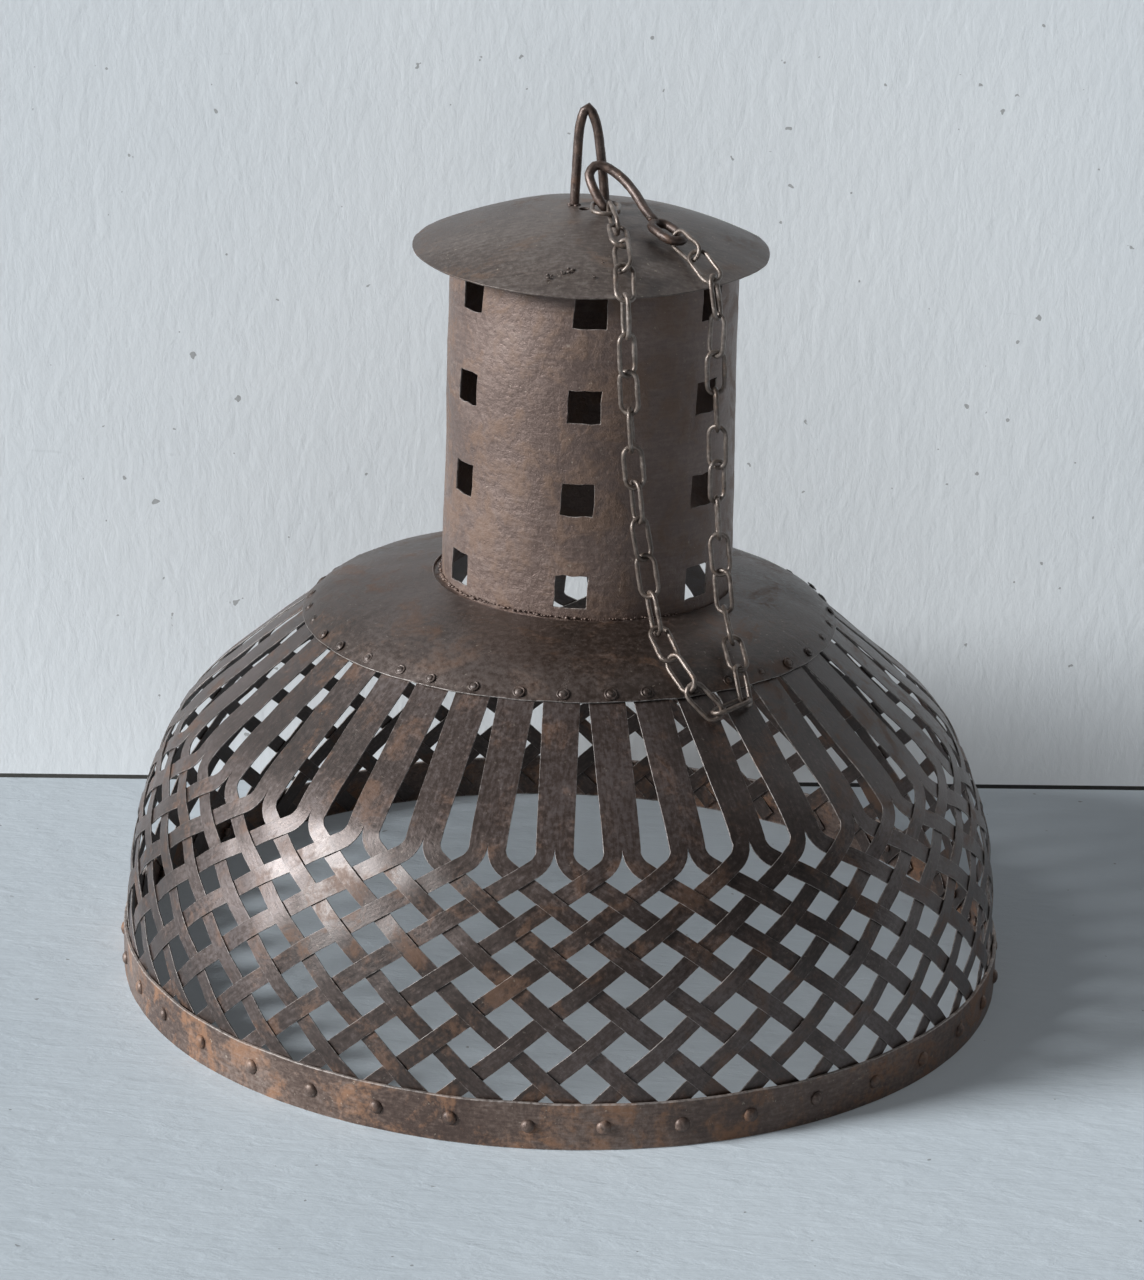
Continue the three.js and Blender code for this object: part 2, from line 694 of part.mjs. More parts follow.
function addChain(side, links, twists, pieces, names) {
  let first = 0;
  pieces.forEach((count, piece) => {
    const shapes = links.slice(first, first + count).map(({ from, to }, i) => linkBetween(from, to,
      twists[first + i], link));
    addPiece(`chain_${side}_${names[piece]}`, join(shapes), chainFinish);
    first += count;
  });
}

addChain('left', leftLinks, leftTwists, leftPieces, leftNames);
addChain('right', rightLinks, rightTwists, rightPieces, rightNames);
addPiece('chain_bottom_link', linkBetween(...bottomBearings.map((point) => new THREE.Vector3(...point)),
  bottomTwist, link), chainFinish);

export default shade;
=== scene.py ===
import math
import random

import bpy
from mathutils import Matrix, Vector, noise


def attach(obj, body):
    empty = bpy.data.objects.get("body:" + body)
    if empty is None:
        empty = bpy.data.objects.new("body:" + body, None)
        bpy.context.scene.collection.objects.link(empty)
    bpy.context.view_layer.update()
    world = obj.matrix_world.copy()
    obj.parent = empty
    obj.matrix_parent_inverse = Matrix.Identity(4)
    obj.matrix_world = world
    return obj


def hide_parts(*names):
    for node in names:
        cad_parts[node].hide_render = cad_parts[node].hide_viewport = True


# Hanging lampshade of woven iron strip. Shapes are worked out in millimetres and made in metres.
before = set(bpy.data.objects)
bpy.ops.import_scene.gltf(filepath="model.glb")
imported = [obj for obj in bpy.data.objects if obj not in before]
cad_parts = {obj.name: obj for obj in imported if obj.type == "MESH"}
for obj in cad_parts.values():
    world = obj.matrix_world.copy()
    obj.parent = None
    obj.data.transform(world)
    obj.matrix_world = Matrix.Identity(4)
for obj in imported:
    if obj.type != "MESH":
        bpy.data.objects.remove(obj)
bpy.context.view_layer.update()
scene = bpy.context.scene
mm = 0.001

# Camera, where the photograph was taken from
shot = {
    "place": (2.3, -2298.4, 1022.8),
    "pitch": 18.893,  # degrees down
    "roll": 1.7,
    "focalPixels": 3487.5,
    "imageHeight": 1280,
    "sensor": 36,
    "farthest": 40,  # metres, where its view ends
}


# An object for some data, linked to the scene
def addObject(name, data):
    made = bpy.data.objects.new(name, data)
    scene.collection.objects.link(made)
    return made


def addCamera():
    pitch = math.radians(shot["pitch"])
    roll = math.radians(shot["roll"])
    forward = Vector((0, math.cos(pitch), -math.sin(pitch)))
    right = Vector((1, 0, 0))
    up = right.cross(forward)
    rolledRight = right * math.cos(roll) + up * math.sin(roll)
    rolledUp = up * math.cos(roll) - right * math.sin(roll)
    data = bpy.data.cameras.new("camera")
    data.sensor_width = shot["sensor"]
    data.lens = shot["focalPixels"] * shot["sensor"] / shot["imageHeight"]
    data.clip_end = shot["farthest"]
    camera = addObject("camera", data)
    turn = Matrix((rolledRight, rolledUp, -forward)).transposed().to_4x4()
    camera.matrix_world = Matrix.Translation(Vector(shot["place"]) * mm) @ turn
    scene.camera = camera


addCamera()
print("camera placed")


# Shader building

# A colour code as linear values
def tint(code):
    values = [int(code[i:i + 2], 16) / 255 for i in (1, 3, 5)]
    linear = [value / 12.92 if value <= 0.04045 else ((value + 0.055) / 1.055) ** 2.4 for value in values]
    return (*linear, 1)


# An operator that adds a Math node. It is turned where the other value stands on the left.
def mathOperator(operation, turned=False):
    def run(field, other):
        first, second = (other, field) if turned else (field, other)
        return field.shader.node("ShaderNodeMath", {"operation": operation}, {0: first, 1: second})
    return run


# A socket that takes part in sums
class Field:
    def __init__(self, shader, socket):
        self.shader = shader
        self.socket = socket

    __add__ = mathOperator("ADD")
    __radd__ = mathOperator("ADD", True)
    __sub__ = mathOperator("SUBTRACT")
    __rsub__ = mathOperator("SUBTRACT", True)
    __mul__ = mathOperator("MULTIPLY")
    __rmul__ = mathOperator("MULTIPLY", True)
    __pow__ = mathOperator("POWER")
    orMore = mathOperator("MAXIMUM")


# The nodes of a material or a world
class Shader:
    def __init__(self, owner, surfaceName="Principled BSDF"):
        owner.use_nodes = True
        self.nodes = owner.node_tree.nodes
        self.links = owner.node_tree.links
        self.surface = self.nodes[surfaceName]

    # Any node: its type, its settings, then the values or links of its sockets
    def node(self, kind, settings, sockets, output=0):
        made = self.nodes.new(kind)
        for key, value in settings.items():
            setattr(made, key, value)
        for key, value in sockets.items():
            self.feed(made.inputs[key], value)
        return Field(self, made.outputs[output])

    def feed(self, socket, value):
        if isinstance(value, Field):
            self.links.new(value.socket, socket)
        else:
            socket.default_value = value

    def set(self, **values):
        for key, value in values.items():
            self.feed(self.surface.inputs[key.replace("_", " ")], value)

    # Sends a mix of surfaces to the output
    def show(self, surface, outputName="Material Output"):
        self.feed(self.nodes[outputName].inputs["Surface"], surface)

    def path(self, ray):
        return self.node("ShaderNodeLightPath", {}, {}, ray)

    def noise(self, place, scale, detail=5, roughness=0.6, distortion=0):
        sockets = {"Vector": place, "Scale": scale, "Detail": detail, "Roughness": roughness,
                   "Distortion": distortion}
        return self.node("ShaderNodeTexNoise", {}, sockets)

    def ramp(self, value, low, high):
        sockets = {"Value": value, "From Min": low, "From Max": high}
        return self.node("ShaderNodeMapRange", {"interpolation_type": "SMOOTHSTEP"}, sockets)

    def mix(self, factor, first, second):
        return self.node("ShaderNodeMix", {"data_type": "RGBA"}, {0: factor, 6: first, 7: second}, 2)

    def stretched(self, place, scale):
        return self.node("ShaderNodeMapping", {"vector_type": "POINT"}, {"Vector": place, "Scale": scale})

    def bump(self, height, distance, normal=None):
        sockets = {"Height": height, "Distance": distance, "Strength": 1.0}
        if normal:
            sockets["Normal"] = normal
        return self.node("ShaderNodeBump", {}, sockets)


# Old iron: a dark skin, brown and rust over it, with pale edges that are partly bare metal worn bright where
# hands and edges rub and partly a painted highlight along the cut edges.
# Each look says how much of each there is.
def ironMaterial(name, look):
    material = bpy.data.materials.new(name)
    shader = Shader(material)
    place = shader.node("ShaderNodeTexCoord", {}, {}, "Object")
    grainPlace = shader.node("ShaderNodeUVMap", {"uv_map": "grain"}, {})
    edge = shader.node("ShaderNodeAttribute", {"attribute_name": "edge"}, {}, "Fac")

    broad = shader.noise(place, look["broadScale"], 4, 0.55, 0.4)
    blotch = shader.noise(place, look["blotchScale"], 7, 0.65, 0.6)
    speckle = shader.noise(place, look["speckleScale"], 5, 0.72)
    fine = shader.noise(place, look["fineScale"], 3, 0.7)
    lengthwise = shader.stretched(grainPlace, (look["alongScale"], look["acrossScale"], 1))
    along = shader.noise(lengthwise, 1, 5, 0.6)

    skin = shader.mix(shader.ramp(broad * 0.45 + along * 0.25 + speckle * 0.3, *look["skinRange"]),
                      tint(look["dark"]), tint(look["mid"]))
    rustTo = look["rustFrom"] + look["rustBlend"]
    rustMask = shader.ramp(blotch * 0.75 + speckle * 0.25, look["rustFrom"], rustTo)
    rusty = shader.mix(rustMask * look["rustShare"], skin, tint(look["rust"]))
    greyMask = shader.ramp(speckle * 0.4 + broad * 0.35 + along * 0.25, *look["greyRange"])
    worn = shader.mix(greyMask * look["greyShare"], rusty, tint(look["grey"]))
    pits = shader.ramp(shader.noise(place, look["pitScale"], 2, 0.8), *look["pitRange"])
    pitted = shader.mix(pits * look["pitShare"], worn, tint(look["pit"]))
    # Pale edges: partly wear, partly a painted highlight along the cut edges
    edgeMask = shader.ramp(edge ** look["edgeSharpness"] * (0.3 + speckle), *look["edgeRange"])
    colour = shader.mix(edgeMask * look["edgeShare"], pitted, tint(look["edge"]))

    roughness = look["roughness"] + look["rustRoughness"] * rustMask
    roughness += look["alongRoughness"] * (along - 0.5)
    roughness += look["speckleRoughness"] * (speckle - 0.5)
    metallic = look["metallic"] - look["rustDulling"] * rustMask * look["rustShare"]
    coat = look["coat"] * (1 - look["rustUncoats"] * rustMask)
    grain = shader.bump(along, look["grainDepth"])
    mottled = shader.bump(blotch, look["blotchDepth"], grain)
    crusted = shader.bump(speckle, look["speckleDepth"], mottled)
    normal = shader.bump(fine - 0.6 * pits, look["fineDepth"], crusted)
    shader.set(Base_Color=colour, Roughness=roughness, Metallic=metallic, Coat_Weight=coat, Normal=normal,
               Coat_Roughness=look["coatRoughness"], Specular_IOR_Level=0.5)
    return material


plainLook = {
    "dark": "#30251f", "mid": "#54443d", "rust": "#78563f", "grey": "#837e80",
    # The edge colour is pale: partly worn metal, partly a painted highlight along the edges
    "edge": "#c2bab4", "pit": "#d6c8b4",
    "broadScale": 7, "blotchScale": 34, "speckleScale": 290, "fineScale": 620, "pitScale": 260,
    "alongScale": 110, "acrossScale": 480,
    "skinRange": (0.38, 0.62), "greyRange": (0.49, 0.62), "pitRange": (0.68, 0.74), "edgeRange": (0.55, 0.9),
    "rustFrom": 0.5, "rustBlend": 0.14, "rustShare": 0.55, "greyShare": 0.35, "pitShare": 0.2,
    "edgeSharpness": 5, "edgeShare": 0.5,
    "roughness": 0.45, "rustRoughness": 0.18, "alongRoughness": 0.25, "speckleRoughness": 0.5,
    "metallic": 0.5, "rustDulling": 0.4, "coat": 0.48, "rustUncoats": 0.7, "coatRoughness": 0.38,
    "grainDepth": 0.00016, "blotchDepth": 0.0005, "speckleDepth": 0.00025, "fineDepth": 0.00006,
}
# What each finish changes in the plain look
looks = {
    "strip_iron": dict(greyShare=0.22, pitShare=0.12, rustShare=0.45),
    "band_iron": dict(
        dark="#4c3c35", mid="#7d695e", rust="#946a4c", grey="#8f8580", rustFrom=0.47, rustShare=0.72,
        roughness=0.5, metallic=0.4, coat=0.12, blotchScale=36, blotchDepth=0.0009, pitShare=0.35),
    "crown_iron": dict(
        dark="#32271f", mid="#55463f", rust="#6f513d", grey="#746a65", rustShare=0.5, roughness=0.44,
        coat=0.25, blotchScale=26, blotchDepth=0.0011, alongScale=150, acrossScale=240,
        edgeSharpness=3, edgeShare=0.75),
    "chimney_iron": dict(
        dark="#5f4d45", mid="#77635a", rust="#85674f", grey="#8a7b73", rustFrom=0.46, rustShare=0.32,
        roughness=0.46, metallic=0.42, coat=0.24, blotchScale=38, blotchDepth=0.0011, alongScale=60,
        acrossScale=420, speckleScale=210, speckleDepth=0.0009),
    "cap_iron": dict(
        dark="#493d37", mid="#74675f", rust="#745a48", grey="#8f8781", rustFrom=0.52, rustShare=0.6,
        roughness=0.46, coat=0.2, blotchScale=20, blotchDepth=0.0009, pitShare=0.4,
        edgeSharpness=4, edgeShare=0.85),
    "rod_iron": dict(
        dark="#3c2f29", mid="#594840", rust="#6f4f3a", grey="#80736c", rustShare=0.5,
        roughness=0.42, metallic=0.55, coat=0.2, blotchScale=90),
    "chain_steel": dict(
        dark="#544840", mid="#82746a", rust="#86674f", grey="#a89f98", rustFrom=0.52, rustShare=0.4,
        greyShare=0.5, roughness=0.38, metallic=0.55, coat=0.25, blotchScale=160, blotchDepth=0.0003),
}
iron = {name: ironMaterial(name, {**plainLook, **look}) for name, look in looks.items()}
print("finishes made")


# Meshes

wornEdge = {"segments": 2, "limit_method": "ANGLE", "angle_limit": math.radians(50), "harden_normals": True}


# Sheet modifiers: thickness, with the side of the points that it lies on, then a small worn edge
def sheetOf(thickness, side, bevel):
    solid = {"thickness": thickness * mm, "offset": side, "use_even_offset": True}
    return [("SOLIDIFY", solid), ("BEVEL", {"width": bevel * mm, **wornEdge})]


def turns(count):
    return [2 * math.pi * i / count for i in range(count)]


# Points in millimetres and faces, gathered for one piece. Each point has its place in the grain, along and
# across, and says how near an edge it is.
class Gather:
    def __init__(self):
        self.points = []
        self.faces = []
        self.grain = []
        self.edges = []

    def point(self, place, grain, edge=0.0):
        self.points.append(Vector(place))
        self.grain.append(grain)
        self.edges.append(edge)
        return len(self.points) - 1

    def face(self, *corners):
        self.faces.append(corners)

    # Rows of points all round, from a function of each row's value and each angle
    def rings(self, values, count, pointAt):
        return [[self.point(*pointAt(value, angle)) for angle in turns(count)] for value in values]

    # Rows of points become quads, closed round if asked
    def skin(self, rows, closed=False):
        for upper, lower in zip(rows, rows[1:]):
            count = len(upper)
            for i in range(count if closed else count - 1):
                j = (i + 1) % count
                self.face(upper[i], lower[i], lower[j], upper[j])

    # A skin closed round, with a face at either end
    def solid(self, rows):
        self.skin(rows, True)
        self.face(*rows[0])
        self.face(*reversed(rows[-1]))

    # Triangles from one corner to a row all round
    def fan(self, tip, row):
        for i, corner in enumerate(row):
            self.face(tip, corner, row[(i + 1) % len(row)])

    def shape(self, name):
        mesh = bpy.data.meshes.new(name)
        mesh.from_pydata([tuple(point * mm) for point in self.points], [], self.faces)
        return addObject(name, mesh)

    # The shape with its finish, its body and the nodes that it stands for
    def piece(self, name, slotName, body, nodes=(), modifiers=()):
        piece = self.shape(name)
        mesh = piece.data
        layer = mesh.uv_layers.new(name="grain")
        for loop in mesh.loops:
            u, v = self.grain[loop.vertex_index]
            layer.data[loop.index].uv = (u * mm, v * mm)
        edge = mesh.attributes.new("edge", "FLOAT", "POINT")
        edge.data.foreach_set("value", self.edges)
        mesh.shade_smooth()
        mesh.materials.append(iron[slotName])
        for kind, settings in modifiers:
            modifier = piece.modifiers.new(kind.lower(), kind)
            for key, value in settings.items():
                setattr(modifier, key, value)
        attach(piece, body)
        if nodes:
            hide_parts(*nodes)
        return piece


def smooth(value, low, high):
    share = min(max((value - low) / (high - low), 0), 1)
    return share * share * (3 - 2 * share)


# Old dents, as a sum of waves that each have a depth and a scale
def dented(spot, waves):
    return sum(depth * noise.noise(spot * scale) for depth, scale in waves)


# Even unrolling of a spline through points, as the distance along it
class Line:
    def __init__(self, points, steps=160):
        self.places = []
        count = len(points)
        for i in range(count - 1):
            before = points[max(i - 1, 0)]
            after = points[min(i + 2, count - 1)]
            for step in range(steps):
                self.places.append(self.between(before, points[i], points[i + 1], after, step / steps))
        self.places.append(points[-1])
        self.distances = [0]
        for a, b in zip(self.places, self.places[1:]):
            self.distances.append(self.distances[-1] + (b - a).length)
        self.length = self.distances[-1]

    def between(self, before, start, end, after, t):
        leave = (end - before) * 0.5
        reach = (after - start) * 0.5
        cubic = (start - end) * 2 + leave + reach
        square = (end - start) * 3 - leave * 2 - reach
        return cubic * t ** 3 + square * t ** 2 + leave * t + start

    def at(self, distance):
        low = 0
        high = len(self.places) - 2
        while low < high:
            middle = (low + high + 1) // 2
            if self.distances[middle] <= distance:
                low = middle
            else:
                high = middle - 1
        a, b = self.places[low], self.places[low + 1]
        span = self.distances[low + 1] - self.distances[low]
        share = min(max((distance - self.distances[low]) / span, 0), 1)
        return a.lerp(b, share), (b - a).normalized()

    # Distance at which one coordinate of the line passes a value, on a line that only falls in it
    def whereFalls(self, value, axis=1):
        for i, place in enumerate(self.places):
            if place[axis] <= value:
                return self.distances[i]
        return self.length


# The basket's outline and weave

basket = {
    "stripCount": 39,
    "firstSpoke": -1.0,  # degrees from the front
    "stripWidth": 24,
    "slit": 0.6,
    "thickness": 0.9,
    "bevel": 0.22,
    "crossings": 9,
    "steepening": 0.27,
    "spread": (1.03, 1.05),  # how much wider the basket is at the first two crossings
    "bendRadius": 16,
    "legEnd": 5,
    "lastCrossing": 21,
    "split": (267, 182),
    "splitStray": 1.5,
    "outline": [(224, 222), (267, 182), (293.5, 125), (303, 84), (306.1, 45), (306.1, 0)],
    "lift": 0.64,
    "liftFrom": (0.3, 0.95),  # crossings, over which a leg starts to stand out
    "sway": 0.9,
    "swayFrom": (0.5, 2),
    "dents": [(0.9, 0.9), (0.35, 3.7)],  # depth and scale
    "spokeRows": 16,
    "bendRows": 6,
    "rowsPerCrossing": 6,
}
# The crown stands here because the spokes end under it
crown = {
    "radius": 185,
    "edgeHeight": 257,
    "lap": 15,
    "lapRise": 12,
    "dome": (140, 279),
    "neck": (86, 288),
    "thickness": 1.2,
    "bevel": 0.3,
    "raggedEdge": 0.8,
    "dents": [(1.5, 1), (0.5, 3.1)],
    "dentScale": 0.012,
    "segments": 234,
    "rings": [0, 0.012, 0.03, 0.07, 0.13, 0.2, 0.3, 0.4, 0.5, 0.6, 0.7, 0.8, 0.88, 0.95, 1],
    "lapGap": 0.6,
    "spokeLap": 11,
    "holeRadius": 103.5,
    "holeCentre": 8.5,
    "rivetInset": 6,
    "rivetRadius": 4.2,
    "rivetRise": 1.3,
    "rivetSeed": 5,
    "rivetStray": 0.18,
    "rivetInOut": 1,
    "rivetSizes": (0.85, 1.05),
    "rivetGrip": 2.7,
}

halfPitch = math.pi / basket["stripCount"]
firstSpoke = math.radians(basket["firstSpoke"])
legWidth = (basket["stripWidth"] - basket["slit"]) / 2
lapAngle = math.atan2(crown["lapRise"], crown["lap"])
crownLift = basket["thickness"] / 2 + crown["lapGap"] + crown["thickness"]
spokeAtEdge = (crown["radius"] - crownLift * math.sin(lapAngle),
               crown["edgeHeight"] - crownLift * math.cos(lapAngle))
spokeEnd = (spokeAtEdge[0] - crown["spokeLap"],
            spokeAtEdge[1] + crown["spokeLap"] * math.tan(lapAngle))
outline = Line([Vector(point) for point in [spokeEnd, spokeAtEdge, *basket["outline"]]])
splitDistance = outline.whereFalls(basket["split"][1])
weaveLength = outline.whereFalls(basket["lastCrossing"]) - splitDistance
endDistance = outline.whereFalls(basket["legEnd"])


def outward(angle):
    return Vector((math.sin(angle), -math.cos(angle), 0))


# A point of the basket, a distance down the outline and an angle round from the front, with small old dents
def onBasket(distance, angle, lift=0):
    at, along = outline.at(distance)
    out = outward(angle)
    normal = out * -along.y + Vector((0, 0, along.x))
    spot = out * 3.1 + Vector((0, 0, distance * 0.016))
    lift += dented(spot, basket["dents"])
    return out * at.x + Vector((0, 0, at.y)) + normal * lift, normal


def radiusAt(distance):
    return outline.at(distance)[0].x


def crossingShare(k):
    share = k / basket["crossings"]
    return (1 - basket["steepening"]) * share + basket["steepening"] * share * share


def crossingDistance(k):
    return splitDistance + weaveLength * crossingShare(k)


def lastCrossing(step=0.01):
    k = basket["crossings"]
    while crossingDistance(k + step) < endDistance:
        k += step
    return k


# The in-plane bend at the split: from the spoke's middle across, and down from the split's height
splitRadius = basket["split"][0]
firstAcross = splitRadius * basket["spread"][0] * halfPitch
firstDown = weaveLength * crossingShare(1)
secondDown = weaveLength * crossingShare(2)
legSlope = math.atan2(secondDown - firstDown, splitRadius * basket["spread"][1] * halfPitch)
bendTurn = math.pi / 2 - legSlope
bendStart = firstDown - (firstAcross - legWidth / 2) * math.tan(legSlope)
bendStart -= basket["bendRadius"] * math.tan(bendTurn / 2)
endK = lastCrossing()


# How far a leg stands out at place k of the weave, flat over the strip that it crosses
def weaveLift(k, side):
    wave = math.cos(math.pi * (k - 1))
    wave = wave * (1.5 - 0.5 * wave * wave)
    if k < 1:
        wave = smooth(k, *basket["liftFrom"])
    return -side * wave * basket["lift"]


# Centre line of a leg: distance down, angle from the spoke, and lift
def legStations(side, seed):
    flat = []
    bend = basket["bendRadius"]
    for i in range(1, basket["bendRows"] + 1):
        turn = bendTurn * i / basket["bendRows"]
        distance = splitDistance + bendStart + bend * math.sin(turn)
        flat.append((distance, (legWidth / 2 + bend * (1 - math.cos(turn))) / radiusAt(distance)))
    bendEnd = flat[-1]
    first = (crossingDistance(1), halfPitch)
    for share in (0.25, 0.5, 0.75):
        flat.append(tuple(a + (b - a) * share for a, b in zip(bendEnd, first)))
    steps = round((endK - 1) * basket["rowsPerCrossing"])
    for i in range(steps + 1):
        k = 1 + (endK - 1) * i / steps
        flat.append((crossingDistance(k), k * halfPitch))
    stations = []
    for distance, angle in flat:
        k = angle / halfPitch
        sway = basket["sway"] * smooth(k, *basket["swayFrom"])
        sway *= noise.noise(Vector((k * 0.45, seed, side * 5)))
        stations.append((distance, side * angle + sway / radiusAt(distance), weaveLift(k, side)))
    return stations


def addStrip(index):
    spokeAngle = firstSpoke + 2 * index * halfPitch
    gather = Gather()
    half = basket["stripWidth"] / 2
    stray = basket["splitStray"] * noise.noise(Vector((index * 3.3, 0, 0)))
    splitRow = splitDistance + bendStart + stray
    rows = []
    for i in range(basket["spokeRows"] + 1):
        distance = splitRow * i / basket["spokeRows"]
        row = []
        for across in (-half, -half / 2, 0, half / 2, half):
            place, _ = onBasket(distance, spokeAngle + across / radiusAt(distance))
            edge = 1.0 if abs(across) == half else 0.0
            row.append(gather.point(place, (distance, across + index * 60), edge))
        rows.append(row)
    gather.skin(rows)
    split = rows[-1]
    for side in (-1, 1):
        inner, centre, outer = split[2], split[2 + side], split[2 + 2 * side]
        stations = legStations(side, index * 7.7)
        ends = [onBasket(distance, spokeAngle + angle, lift) for distance, angle, lift in stations]
        places = [(splitRow, gather.points[centre])] + [(0, place) for place, _ in ends]
        travelled = splitRow
        for i, (place, normal) in enumerate(ends):
            before = places[i][1]
            after = ends[min(i + 1, len(ends) - 1)][0]
            travelled += (place - before).length
            along = after - before
            sideways = normal.cross(along).normalized()
            width = legWidth / 2
            row = []
            for share, edge in ((-1, 1.0), (0, 0.0), (1, 1.0)):
                grain = (travelled, side * (half / 2 + share * width) + index * 60)
                row.append(gather.point(place + sideways * (share * side * width), grain, edge))
            if side > 0:
                gather.face(inner, row[0], row[1], centre)
                gather.face(centre, row[1], row[2], outer)
            else:
                gather.face(centre, row[1], row[0], inner)
                gather.face(outer, row[2], row[1], centre)
            inner, centre, outer = row
    name = f"strip_{index + 1:02d}"
    sheet = sheetOf(basket["thickness"], 0, basket["bevel"])
    gather.piece(f"woven_{name}", "strip_iron", "shade", [name], sheet)


for index in range(basket["stripCount"]):
    addStrip(index)
print("strips woven")


# Rivets: a domed head, a shank and a peened tail, turned as one

# Each head as shares of its radius and rise
domedHead = [(0.35, 1), (0.66, 0.82), (0.88, 0.5), (1, 0.12), (0.98, 0), (0.5, 0)]
ringedHead = [(0.3, 1), (0.5, 0.85), (0.6, 0.3), (0.72, 0.25), (0.86, 0.6), (0.98, 0.35), (1, 0), (0.5, 0)]
rivetSides = 16


def addRivet(gather, base, axis, head, radius, rise, grip, seed):
    across = axis.orthogonal().normalized()
    other = axis.cross(across)
    tail = radius * 0.72
    profile = [(share * radius, height * rise) for share, height in head]
    profile += [(radius * 0.5, -grip), (tail, -grip)]
    profile += [(tail * 0.9, -grip - rise * 0.4), (tail * 0.4, -grip - rise * 0.6)]

    def pointAt(level, turn):
        ring, height = level
        out = across * math.cos(turn) + other * math.sin(turn)
        rough = 1 + 0.06 * noise.noise(out * 1.7 + Vector((seed, height, 0)))
        edge = 0.9 if height > rise * 0.5 else 0.0
        return base + axis * height + out * (ring * rough), (turn * radius, height), edge

    gather.solid(gather.rings(profile, rivetSides, pointAt))


# Rim band

band = {
    "radius": 310,
    "height": 32,
    "thickness": 2.5,
    "corner": 0.5,
    "softEdge": 2.5,
    "waves": [(0.7, 4.1), (0.25, 17)],  # depth and scale
    "lip": 0.8,
    "segments": 312,
    "sharpFrom": 35,  # degrees
    "rivetRadius": 5,
    "rivetRise": 2.9,
    "rivetHeight": 16,
    "rivetSeed": 11,
    "rivetStray": 0.12,
    "rivetUpDown": 1.2,
    "rivetLean": 0.05,
    "rivetSizes": (0.92, 1.06),
    "rivetGrip": 5.2,
}


def bandWave(angle):
    return dented(outward(angle), band["waves"])


def addBand():
    gather = Gather()
    outer = band["radius"]
    inner = outer - band["thickness"]
    top = band["height"]
    c = band["corner"]
    soft = band["softEdge"]
    profile = [(inner, c, 1), (inner + c, 0, 1), (outer - c, 0, 1), (outer, c, 1), (outer, soft, 0.2),
               (outer, top * 0.35, 0), (outer, top * 0.65, 0), (outer, top - soft, 0.2), (outer, top - c, 1),
               (outer - c, top, 1), (inner + c, top, 1), (inner, top - c, 1), (inner, top * 0.5, 0)]
    rings = []
    for angle in turns(band["segments"]):
        out = outward(angle)
        wave = bandWave(angle)
        lip = band["lip"] * noise.noise(out * 7.3 + Vector((9, 0, 0)))
        row = []
        for radius, height, edge in profile:
            level = height + (lip if height > top * 0.5 else 0) * smooth(height, top * 0.3, top)
            place = out * (radius + wave) + Vector((0, 0, level))
            row.append(gather.point(place, (angle * outer, height), float(edge)))
        rings.append(row)
    for i, ring in enumerate(rings):
        after = rings[(i + 1) % len(rings)]
        for j in range(len(profile)):
            k = (j + 1) % len(profile)
            gather.face(ring[j], after[j], after[k], ring[k])
    piece = gather.piece("rim_band_hoop", "band_iron", "shade", ["rim_band"])
    piece.data.set_sharp_from_angle(angle=math.radians(band["sharpFrom"]))


def addBandRivets():
    gather = Gather()
    rng = random.Random(band["rivetSeed"])
    stray, upDown, leanMost = band["rivetStray"], band["rivetUpDown"], band["rivetLean"]
    for i in range(basket["stripCount"]):
        angle = firstSpoke + (2 * i + 1.5 + rng.uniform(-stray, stray)) * halfPitch
        height = band["rivetHeight"] + rng.uniform(-upDown, upDown)
        out = outward(angle)
        base = out * (band["radius"] + bandWave(angle) - 0.1) + Vector((0, 0, height))
        lean = Vector((rng.uniform(-leanMost, leanMost), rng.uniform(-leanMost, leanMost), 0))
        size = band["rivetRadius"] * rng.uniform(*band["rivetSizes"])
        axis = (out + lean).normalized()
        addRivet(gather, base, axis, domedHead, size, band["rivetRise"], band["rivetGrip"], i)
    gather.piece("band_rivets", "band_iron", "shade")


addBand()
addBandRivets()
print("rim band riveted")


# Crown

crownLine = Line([Vector(point) for point in [
    (crown["radius"], crown["edgeHeight"]),
    (crown["radius"] - crown["lap"], crown["edgeHeight"] + crown["lapRise"]),
    crown["dome"], crown["neck"]]])


def crownHeight(radius):
    distance = crownLine.whereFalls(radius, 0)
    return crownLine.at(distance)[0].y


def crownDent(place):
    return dented(place * crown["dentScale"], crown["dents"])


def addCrown():
    gather = Gather()

    def pointAt(share, angle):
        out = outward(angle)
        ragged = crown["raggedEdge"] * noise.noise(out * 9) * (1 - smooth(share, 0, 0.1))
        reach = crown["radius"] + ragged + (crown["holeRadius"] - crown["radius"]) * share
        place = out * reach + Vector((crown["holeCentre"] * share, 0, 0))
        radius = math.hypot(place.x, place.y)
        place.z = crownHeight(radius) + smooth(share, 0.05, 0.3) * crownDent(place)
        edge = 1.0 - smooth(share, 0, 0.03) if share < 0.5 else smooth(share, 0.93, 1)
        return place, (angle * 150, radius), edge

    rows = gather.rings(crown["rings"], crown["segments"], pointAt)
    gather.skin(list(reversed(rows)), True)
    sheet = sheetOf(crown["thickness"], -1, crown["bevel"])
    gather.piece("crown_sheet", "crown_iron", "shade", ["crown"], sheet)


def addCrownRivets():
    gather = Gather()
    rng = random.Random(crown["rivetSeed"])
    stray, inOut = crown["rivetStray"], crown["rivetInOut"]
    at, along = crownLine.at(crown["rivetInset"])
    for i in range(basket["stripCount"]):
        angle = firstSpoke + (2 * i + rng.uniform(-stray, stray)) * halfPitch
        out = outward(angle)
        axis = (out * along.y + Vector((0, 0, -along.x))).normalized()
        base = out * (at.x + rng.uniform(-inOut, inOut)) + Vector((0, 0, at.y))
        size = crown["rivetRadius"] * rng.uniform(*crown["rivetSizes"])
        addRivet(gather, base, axis, ringedHead, size, crown["rivetRise"], crown["rivetGrip"], 100 + i)
    gather.piece("crown_rivets", "crown_iron", "shade")


addCrown()
addCrownRivets()
print("crown laid over the spokes")


# Cap, whose place the chimney's top follows

